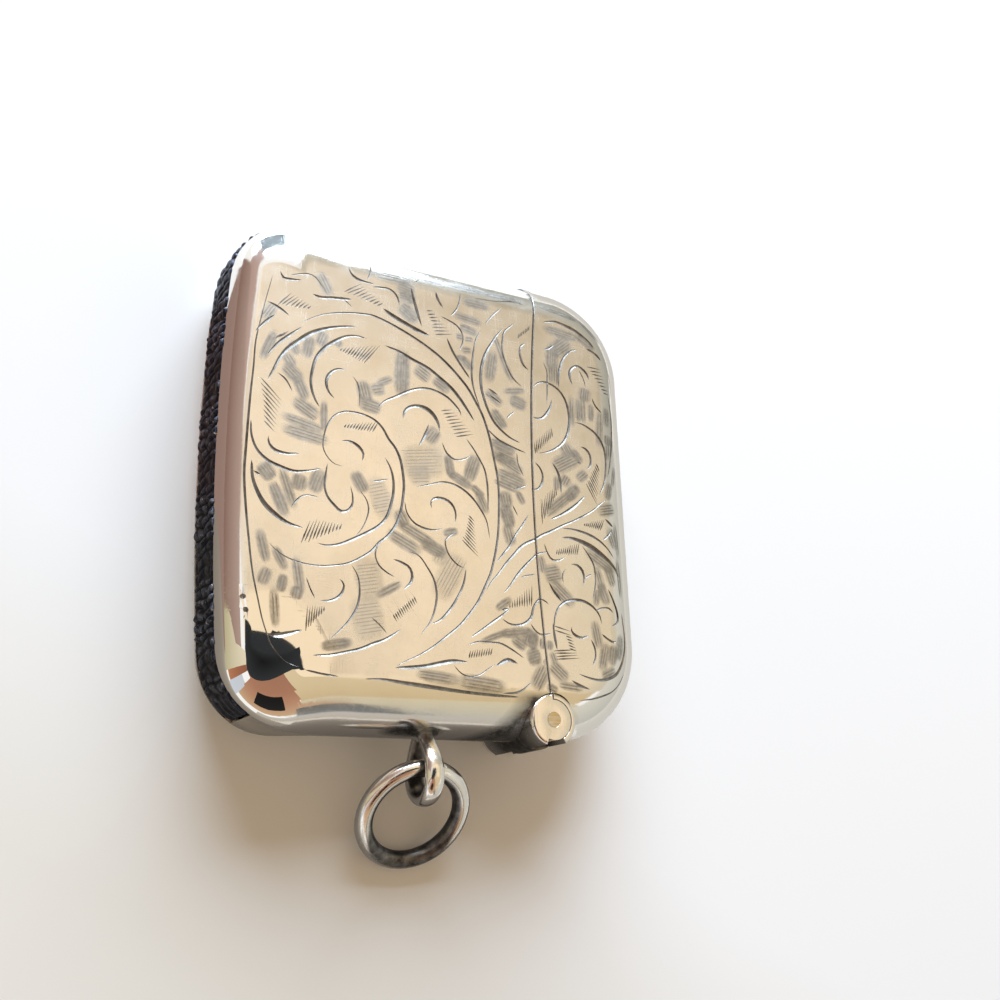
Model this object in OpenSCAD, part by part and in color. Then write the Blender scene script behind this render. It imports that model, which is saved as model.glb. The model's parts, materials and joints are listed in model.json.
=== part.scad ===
// Silver vesta case with a side-hinged spring lid, base striker, suspension loop and ring.
// It lies on its back: x runs from the striker end to the lid end, y away from the hinge, z out of the front.
// The origin is the middle of the plan, on the back face. All lengths are millimetres.

/* [Case] */
// Length from the striker end to the lid end
case_length = 37; // [32:0.5:44]
// Width from the hinge side to the far side
case_width = 40; // [36:0.5:48]
// Thickness from back to front
case_thickness = 8.4; // [7.8:0.1:10]
// Thickness of the silver sheet
wall = 0.5; // [0.35:0.05:0.7]
// Edge rounding along the two long sides and round the lid
side_round = 4.1; // [3.2:0.1:4.1]
// Edge rounding at the striker end
base_round = 2; // [1.5:0.1:2.4]
// Plan radius of the two corners at the striker end
base_corner = 5.9; // [5:0.1:7]
// How far the striker end bows out at its middle
base_bow = 0.55; // [0.2:0.05:1]
// Plan radius of the two lid corners
lid_corner = 7.9; // [6.5:0.1:9]
// Length of the lid at its middle
lid_length = 11; // [9.5:0.5:12]
// How far the mouth line bows towards the base at its middle
seam_bow = 0.8; // [0.3:0.1:1.2]
// Gap between the body and the closed lid
seam_gap = 0.15; // [0.1:0.05:0.25]

/* [Striker] */
// Height of the striker strip across the base
strip_height = 4.2; // [3:0.1:4.3]
// Length of the strip's wrap round each base corner, along the case
strip_wrap = 3.2; // [2:0.1:4]
// Depth of the strip's seat below the surface
strip_seat = 0.25; // [0.15:0.05:0.4]
// Height of the teeth above the surface
strip_proud = 0.12; // [0.05:0.01:0.25]
// Distance from one tooth to the next
tooth_pitch = 0.8; // [0.6:0.1:1.5]
// Depth of the cuts between the teeth
tooth_depth = 0.16; // [0.08:0.01:0.2]
// Gap round the edge of the strip in its seat
strip_gap = 0.1; // [0.05:0.01:0.2]
// Thickness of the base plate behind the seat
base_backing = 0.65; // [0.4:0.05:1]

/* [Mouth rim] */
// Thickness of the rim inside the mouth
rim_wall = 0.35; // [0.25:0.05:0.5]
// Depth of the rim inside the body
rim_depth = 2.8; // [2:0.1:4]
// Reach of the rim into the lid
rim_reach = 1.6; // [1.2:0.1:2]
// Clearance between the rim and the lid
rim_clearance = 0.08; // [0.05:0.01:0.15]

/* [Hinge] */
// Radius of the hinge barrel
barrel_radius = 2.05; // [1.8:0.05:2.2]
// Distance of the hinge axis inside the widest line of the hinge side
barrel_inset = 1.3; // [1.2:0.05:1.6]
// Thickness of the lid's ears, outside the knuckle discs round the pin
ear_wall = 0.43; // [0.35:0.01:0.6]
// Length of each body knuckle
knuckle_length = 2.5; // [2:0.1:2.8]
// Setback of the barrel ends from the faces
barrel_setback = 0.15; // [0.1:0.05:0.4]
// Radius of the hinge pin
pin_radius = 0.58; // [0.4:0.02:0.7]
// Running clearance round the pin in the lid's knuckle
pin_clearance = 0.04; // [0.02:0.01:0.1]
// Clearance between hinge parts that pass each other
knuckle_gap = 0.12; // [0.08:0.02:0.2]
// Opening angle of the lid, at which its ears meet the body's knuckles
lid_open = 46; // [30:1:60]

/* [Lid spring] */
// Thickness of the leaf
leaf_thickness = 0.3; // [0.2:0.05:0.4]
// Width of the leaf
leaf_width = 2.2; // [1.6:0.1:2.4]
// Length of the leaf's sloping part
leaf_reach = 11.8; // [9:0.2:14]
// Length of the spring's seat
block_length = 5; // [4:0.2:6]
// Height of the seat above the inside of the wall
block_height = 1.6; // [1.2:0.1:1.8]
// Gap between the leaf's tip and the lid's knuckle
leaf_gap = 0.15; // [0.1:0.05:0.3]
// Shank radius of the rivets
rivet_radius = 0.35; // [0.25:0.05:0.45]
// Head radius of the rivets
rivet_head = 0.7; // [0.55:0.05:0.9]

/* [Thumb lip] */
// How far the lip stands out from the side
lip_reach = 0.5; // [0.3:0.05:0.8]
// Length of the lip along the case
lip_length = 0.8; // [0.5:0.1:1.2]
// Radius of the lip's crescent
lip_radius = 2.6; // [2.2:0.1:2.8]

/* [Loop and ring] */
// Place of the loop along the case, from the middle
loop_x = -1.1; // [-4:0.1:2]
// Height of the loop above the middle of the side
loop_rise = 0.8; // [0:0.1:1]
// Length of the loop outside the case
loop_length = 5.1; // [4.6:0.1:6]
// Half height of the loop
loop_half = 2.2; // [2:0.1:2.4]
// Thickness of the loop's strap
loop_strap = 1; // [0.8:0.05:1.1]
// Width of the loop's strap
loop_width = 1.5; // [0.8:0.1:1.6]
// Height of the loop's foot
foot_height = 5.4; // [5:0.1:6]
// Width of the loop's foot
foot_width = 2.2; // [2:0.1:3]
// Thickness of the loop's foot
foot_thickness = 0.4; // [0.25:0.05:0.6]
// Radius of the ring's middle line
ring_radius = 3.95; // [3.4:0.05:5]
// Radius of the ring's wire
ring_wire = 0.68; // [0.5:0.02:0.75]
// Height of the ring's wire above the middle of the loop
ring_rise = 0.3; // [0:0.05:0.35]
// Distance of the ring's wire from the side of the case
ring_out = 2.3; // [1.9:0.1:2.5]
// Gap between the ring's low side and the surface that the case lies on
ring_floor_gap = 0.02; // [0:0.01:0.3]

/* [Hidden] */
$fn = 64;

silver = "#c9c4b4";
gilt = "#c7a75e";
steel = "#8f9296";
oxide = "#2a2c33";

// A length that is larger than the case in every direction
beyond = 3 * (case_length + case_width);
middle = case_thickness / 2;
// How far the base form stands outside the side form, so that their surfaces cross at an angle
form_margin = 0.03;

// Plan of the striker end: a flat arc between two corner arcs that it all but touches smoothly
corner_y = case_width / 2 - base_corner + form_margin;
bow_radius = corner_y * corner_y / (2 * base_bow) + base_bow / 2 + base_corner;
bow_x = bow_radius - case_length / 2;
bow_angle = asin(corner_y / (bow_radius - base_corner + form_margin));
corner_x = bow_x - (bow_radius - base_corner + form_margin) * cos(bow_angle);
bow_half = bow_radius * bow_angle * PI / 180;

// Point on the base curve at a length from its middle, moved outwards by a distance
function base_point(along, out) =
    let (side = along < 0 ? -1 : 1, rest = abs(along) - bow_half)
    rest < 0
        ? let (a = along / bow_radius * 180 / PI)
            [bow_x - (bow_radius + out) * cos(a), (bow_radius + out) * sin(a)]
        : let (a = bow_angle + rest / base_corner * 180 / PI)
            [corner_x - (base_corner + out) * cos(a), side * (corner_y + (base_corner + out) * sin(a))];
// Length along the base curve, from its middle, at which a corner reaches a place x
function base_length(x) =
    bow_half + base_corner * (acos((corner_x - x) / base_corner) - bow_angle) * PI / 180;

// The mouth line is an arc whose centre lies far beyond the lid
seam_x = case_length / 2 - lid_length;
seam_span = case_width / 2 - side_round;
seam_radius = seam_span * seam_span / (2 * seam_bow) + seam_bow / 2;
function seam_at(y) = seam_x + seam_radius - sqrt(seam_radius * seam_radius - y * y);

// Hinge axis, parallel to z, where the mouth line meets the hinge side
hinge_y = barrel_inset - case_width / 2;
hinge_x = seam_at(hinge_y);
knuckle_core = barrel_radius - ear_wall - knuckle_gap;
knuckle_z = case_thickness - barrel_setback - knuckle_length;
lid_knuckle_z = barrel_setback + knuckle_length + knuckle_gap;
lid_knuckle_length = case_thickness - 2 * lid_knuckle_z;

// Angles of the hinge tab, seen from the front: the body holds the far side, and the notch sets the opening
tab_gap_angle = knuckle_gap / barrel_radius * 180 / PI;
tab_start = 90 + tab_gap_angle;
tab_end = 250;
ear_start = tab_end + lid_open + tab_gap_angle - 360;
ear_end = 90 - tab_gap_angle;

// Striker band across the base, worked out past the ends at which it and its plate are cut off
strip_end = strip_wrap - case_length / 2;
plate_end = strip_end + strip_gap;
plate_height = strip_height + 2 * strip_gap;
band_half = base_length(plate_end) + strip_seat + base_backing;
teeth = round(2 * band_half / tooth_pitch);
// Points at every tooth of the band, moved outwards by a distance
function band_points(out) = [for (i = [0 : teeth]) base_point((2 * i / teeth - 1) * band_half, out)];

// Lid spring, from its seat on the wall to the knuckle
leaf_tip_x = hinge_x;
leaf_tip_y = hinge_y + barrel_radius + leaf_gap;
leaf_bend_x = leaf_tip_x - leaf_reach;
leaf_seat_y = wall + block_height - case_width / 2;
block_x = leaf_bend_x - block_length;
rivet_places = [block_x + block_length / 4, block_x + block_length * 3 / 4];

// Loop on the hinge side, and the ring that leans from it to the surface below
loop_z = middle + loop_rise;
loop_tip = -case_width / 2 - loop_length;
ring_y = -case_width / 2 - ring_out;
ring_z = loop_z + ring_rise;
ring_tilt = asin((ring_z - ring_wire - ring_floor_gap) / (2 * ring_radius));

// Half section with its outer edge rounded above and below, from x = 0 to the reach
module edge_section(reach, thickness, round) {
    square([reach - round, thickness]);
    translate([reach - round, round]) square([round, thickness - 2 * round]);
    for (low = [0, thickness - round])
        intersection() {
            translate([reach - round, low == 0 ? round : low]) circle(round);
            translate([reach - round, low]) square(round);
        }
}

// Everything inside the rounded long sides and the rounded lid end, set in by a distance
module side_form(inset) {
    thickness = case_thickness - 2 * inset;
    round = side_round - inset;
    centre_x = case_length / 2 - lid_corner;
    centre_y = case_width / 2 - lid_corner;
    translate([0, 0, inset]) {
        for (side = [0, 1])
            mirror([0, side, 0])
                translate([centre_x - case_length - lid_corner, 0, 0])
                    rotate([90, 0, 90])
                        linear_extrude(case_length + lid_corner)
                            edge_section(case_width / 2 - inset, thickness, round);
        translate([centre_x, centre_y, 0])
            rotate([90, 0, 0])
                linear_extrude(2 * centre_y)
                    edge_section(lid_corner - inset, thickness, round);
        for (side = [0, 1])
            mirror([0, side, 0])
                translate([centre_x, centre_y, 0])
                    rotate_extrude(angle = 90)
                        edge_section(lid_corner - inset, thickness, round);
    }
}

// Everything behind the bowed striker end and inside its two corners, set in by a distance
module base_form(inset) {
    disc_low = inset - form_margin;
    corner_low = disc_low - form_margin;
    round = base_round - inset;
    intersection() {
        translate([bow_x, 0, disc_low])
            rotate_extrude($fn = 720)
                edge_section(bow_radius - inset, case_thickness - 2 * disc_low, round);
        union() {
            translate([corner_x, -case_width, -case_thickness])
                cube([2 * case_length, 2 * case_width, 3 * case_thickness]);
            translate([corner_x - case_length, -corner_y, -case_thickness])
                cube([case_length, 2 * corner_y, 3 * case_thickness]);
            for (side = [0, 1])
                mirror([0, side, 0])
                    translate([corner_x, corner_y, corner_low])
                        rotate(90)
                            rotate_extrude(angle = 90)
                                edge_section(base_corner - inset, case_thickness - 2 * corner_low, round);
        }
    }
}

// The whole closed case as a solid, set in by a distance
module case_form(inset) {
    intersection() {
        side_form(inset);
        base_form(inset);
    }
}

module shell() {
    difference() {
        case_form(0);
        case_form(wall);
    }
}

// Half of space in front of the joint between the struck halves
module front_space() {
    translate([-beyond / 2, -beyond / 2, middle]) cube(beyond);
}

// The back is the front turned over in the plane of that joint
module turned_over() {
    translate([0, 0, case_thickness]) mirror([0, 0, 1]) children();
}

// The lid's side of the mouth line, grown by a distance
module lid_side(grow) {
    translate([seam_x + seam_radius, 0, -beyond / 2])
        cylinder(r = seam_radius + grow, h = beyond, $fn = 720);
}

// Space of the hinge barrel, over a height or right through the case
module barrel_space(radius, height = beyond) {
    translate([hinge_x, hinge_y, middle - height / 2])
        cylinder(r = radius, h = height);
}

// Band across the base that the base plate fills, out to a height
module base_band(end, height) {
    translate([-beyond, -beyond / 2, middle - height / 2])
        cube([beyond + end, beyond, height]);
}

// Pie slice of the plan from one angle to another
module wedge(from, to, radius) {
    steps = ceil((to - from) / 30);
    polygon(concat([[0, 0]], [for (i = [0 : steps]) let (a = from + (to - from) * i / steps)
        2 * radius * [cos(a), sin(a)]]));
}

module body_half() {
    color(silver)
        difference() {
            intersection() {
                shell();
                front_space();
            }
            lid_side(seam_gap);
            base_band(plate_end, plate_height);
            barrel_space(barrel_radius);
            barrel_space(barrel_radius + knuckle_gap, lid_knuckle_length + 2 * knuckle_gap);
        }
}

module lid_half() {
    color(silver)
        difference() {
            intersection() {
                shell();
                front_space();
                lid_side(0);
            }
            barrel_space(barrel_radius);
        }
}

// Upright band along the base curve between two lists of plan points, cut off square at its ends
module base_strip(outer, inner, end, height) {
    intersection() {
        translate([0, 0, middle - height / 2])
            linear_extrude(height)
                polygon(concat(outer, [for (i = [len(inner) - 1 : -1 : 0]) inner[i]]));
        base_band(end, 2 * height);
    }
}

module base_plate() {
    color(silver)
        base_strip(band_points(-strip_seat), band_points(-strip_seat - base_backing), plate_end, plate_height);
}

// The strip's outer edge runs from tooth to tooth, and its back follows the base plate
module striker() {
    tips = [for (i = [0 : 2 * teeth])
        base_point((i / teeth - 1) * band_half, strip_proud - (i % 2) * tooth_depth)];
    color(oxide) base_strip(tips, band_points(-strip_seat), strip_end, strip_height);
}

// Closed ring of sheet that follows the inside of the sides, set in by a distance
module rim_band(inset, low, high) {
    difference() {
        side_form(inset);
        side_form(wall + rim_clearance + rim_wall);
        translate([low - beyond, -beyond / 2, -beyond / 2]) cube(beyond);
        translate([high, -beyond / 2, -beyond / 2]) cube(beyond);
    }
}

module mouth_rim() {
    step = seam_x - 2 * seam_gap;
    color(gilt)
        difference() {
            union() {
                rim_band(wall, step - rim_depth, step);
                rim_band(wall + rim_clearance, step, seam_x + rim_reach);
            }
            barrel_space(barrel_radius + 2 * wall);
        }
}

// Crescent outside the far side wall, just past the mouth line
module thumb_lip() {
    place = case_width / 2 + lip_reach - lip_radius;
    color(silver)
        difference() {
            translate([seam_at(case_width / 2), place, middle])
                rotate([0, 90, 0]) cylinder(r = lip_radius, h = lip_length);
            side_form(0);
        }
}

// Body knuckle: a disc round the pin with the body's part of the tab outside it
module body_knuckle() {
    color(silver)
        translate([hinge_x, hinge_y, knuckle_z])
            linear_extrude(knuckle_length)
                difference() {
                    union() {
                        circle(knuckle_core);
                        intersection() {
                            circle(barrel_radius);
                            wedge(tab_start, tab_end, barrel_radius);
                        }
                    }
                    circle(pin_radius);
                }
}

// The lid's part of the tab, a curved bar outside the body's knuckle
module lid_ear() {
    color(silver)
        translate([hinge_x, hinge_y, knuckle_z])
            linear_extrude(knuckle_length)
                difference() {
                    intersection() {
                        circle(barrel_radius);
                        wedge(ear_start, ear_end, barrel_radius);
                    }
                    circle(knuckle_core + knuckle_gap);
                }
}

module lid_knuckle() {
    color(silver)
        difference() {
            barrel_space(barrel_radius, lid_knuckle_length);
            barrel_space(pin_radius + pin_clearance);
        }
}

module hinge_pin() {
    color(gilt)
        translate([hinge_x, hinge_y, barrel_setback])
            cylinder(r = pin_radius, h = case_thickness - 2 * barrel_setback);
}

module rivet_holes() {
    for (x = rivet_places)
        translate([x, leaf_seat_y + leaf_thickness, middle])
            rotate([90, 0, 0])
                cylinder(r = rivet_radius, h = leaf_thickness + block_height / 2);
}

module leaf_spring() {
    color(steel)
        difference() {
            translate([0, 0, middle - leaf_width / 2])
                linear_extrude(leaf_width)
                    polygon([[block_x, leaf_seat_y], [leaf_bend_x, leaf_seat_y], [leaf_tip_x, leaf_tip_y],
                        [leaf_tip_x, leaf_tip_y + leaf_thickness], [leaf_bend_x, leaf_seat_y + leaf_thickness],
                        [block_x, leaf_seat_y + leaf_thickness]]);
            rivet_holes();
        }
}

module spring_block() {
    color(gilt)
        difference() {
            intersection() {
                side_form(wall);
                translate([block_x, -case_width / 2, middle - leaf_width / 2])
                    cube([block_length, leaf_seat_y + case_width / 2, leaf_width]);
            }
            rivet_holes();
        }
}

module spring_rivets() {
    color(steel) {
        rivet_holes();
        for (x = rivet_places)
            translate([x, leaf_seat_y + leaf_thickness + rivet_radius, middle])
                rotate([90, 0, 0])
                    cylinder(r1 = rivet_radius, r2 = rivet_head, h = rivet_radius);
    }
}

// Upright outline of the foot with two round ends
module foot_outline() {
    half = foot_width / 2;
    straight = foot_height - foot_width;
    translate([-half, -straight / 2]) square([foot_width, straight]);
    for (end = [0, 1])
        mirror([0, end])
            intersection() {
                translate([0, straight / 2]) circle(half);
                translate([-half, straight / 2]) square([foot_width, half]);
            }
}

module loop_foot() {
    color(silver)
        difference() {
            intersection() {
                side_form(-foot_thickness);
                translate([loop_x, 0, loop_z])
                    rotate([90, 0, 0]) linear_extrude(case_width) foot_outline();
            }
            side_form(0);
        }
}

// Outline with one round end, from y = 0 inwards to the round end at the tip
module round_end(half, tip) {
    translate([tip + half, -half]) square([-tip - half, 2 * half]);
    intersection() {
        translate([tip + half, 0]) circle(half);
        translate([tip, -half]) square([half, 2 * half]);
    }
}

module suspension_loop() {
    color(silver)
        difference() {
            translate([loop_x - loop_width / 2, 0, loop_z])
                rotate([90, 0, 90])
                    linear_extrude(loop_width)
                        difference() {
                            round_end(loop_half, loop_tip);
                            round_end(loop_half - loop_strap, loop_tip + loop_strap);
                        }
            side_form(-foot_thickness);
        }
}

module suspension_ring() {
    color(silver)
        translate([loop_x, ring_y, ring_z])
            rotate([ring_tilt, 0, 0])
                translate([0, -ring_radius, 0])
                    rotate_extrude()
                        translate([ring_radius, 0]) circle(ring_wire);
}

module body_front() { body_half(); }
module body_rear() { turned_over() body_half(); }
module lid_front() { lid_half(); }
module lid_rear() { turned_over() lid_half(); }
module front_knuckle() { body_knuckle(); }
module rear_knuckle() { turned_over() body_knuckle(); }
module front_ear() { lid_ear(); }
module rear_ear() { turned_over() lid_ear(); }

body_front();
body_rear();
base_plate();
striker();
mouth_rim();
lid_front();
lid_rear();
thumb_lip();
front_knuckle();
rear_knuckle();
front_ear();
rear_ear();
lid_knuckle();
hinge_pin();
leaf_spring();
spring_block();
spring_rivets();
loop_foot();
suspension_loop();
suspension_ring();
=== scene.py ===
"""Looks of a silver vesta case: engraved panels, striker, hinge, suspension loop and ring, and a plain studio.

The shape functions work in millimetres, and put() turns them into metres.
x runs from the striker to the lid, y away from the hinge, z out of the engraved front.
"""

import json
import math
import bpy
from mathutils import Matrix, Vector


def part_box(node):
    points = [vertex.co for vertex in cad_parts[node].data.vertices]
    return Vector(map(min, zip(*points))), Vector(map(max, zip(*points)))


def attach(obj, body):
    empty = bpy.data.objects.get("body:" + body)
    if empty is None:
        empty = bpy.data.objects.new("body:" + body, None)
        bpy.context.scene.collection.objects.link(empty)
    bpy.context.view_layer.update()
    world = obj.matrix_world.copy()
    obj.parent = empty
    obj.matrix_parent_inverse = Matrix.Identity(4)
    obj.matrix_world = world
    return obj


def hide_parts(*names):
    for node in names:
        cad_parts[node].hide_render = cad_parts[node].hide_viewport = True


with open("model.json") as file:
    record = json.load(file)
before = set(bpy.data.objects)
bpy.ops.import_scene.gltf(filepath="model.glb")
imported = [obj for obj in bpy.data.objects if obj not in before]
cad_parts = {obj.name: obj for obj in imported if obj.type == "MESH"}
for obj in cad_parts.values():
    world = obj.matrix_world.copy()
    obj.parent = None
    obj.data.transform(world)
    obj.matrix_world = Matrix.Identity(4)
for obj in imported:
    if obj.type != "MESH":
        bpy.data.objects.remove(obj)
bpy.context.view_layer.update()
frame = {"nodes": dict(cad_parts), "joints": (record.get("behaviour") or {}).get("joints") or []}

from types import SimpleNamespace

import bpy
import numpy as np
from mathutils import Matrix
from mathutils.geometry import delaunay_2d_cdt

bl_info = {
    "name": "Silver Vesta Case",
    "version": (1, 0, 0),
    "blender": (4, 5, 0),
    "location": "View3D > Sidebar > Vesta Case",
    "description": "Dresses the solids of a silver vesta case with engraving, fittings, finishes and a studio",
    "category": "Object",
}

MM = 0.001
TURN = 2 * math.pi

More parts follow.
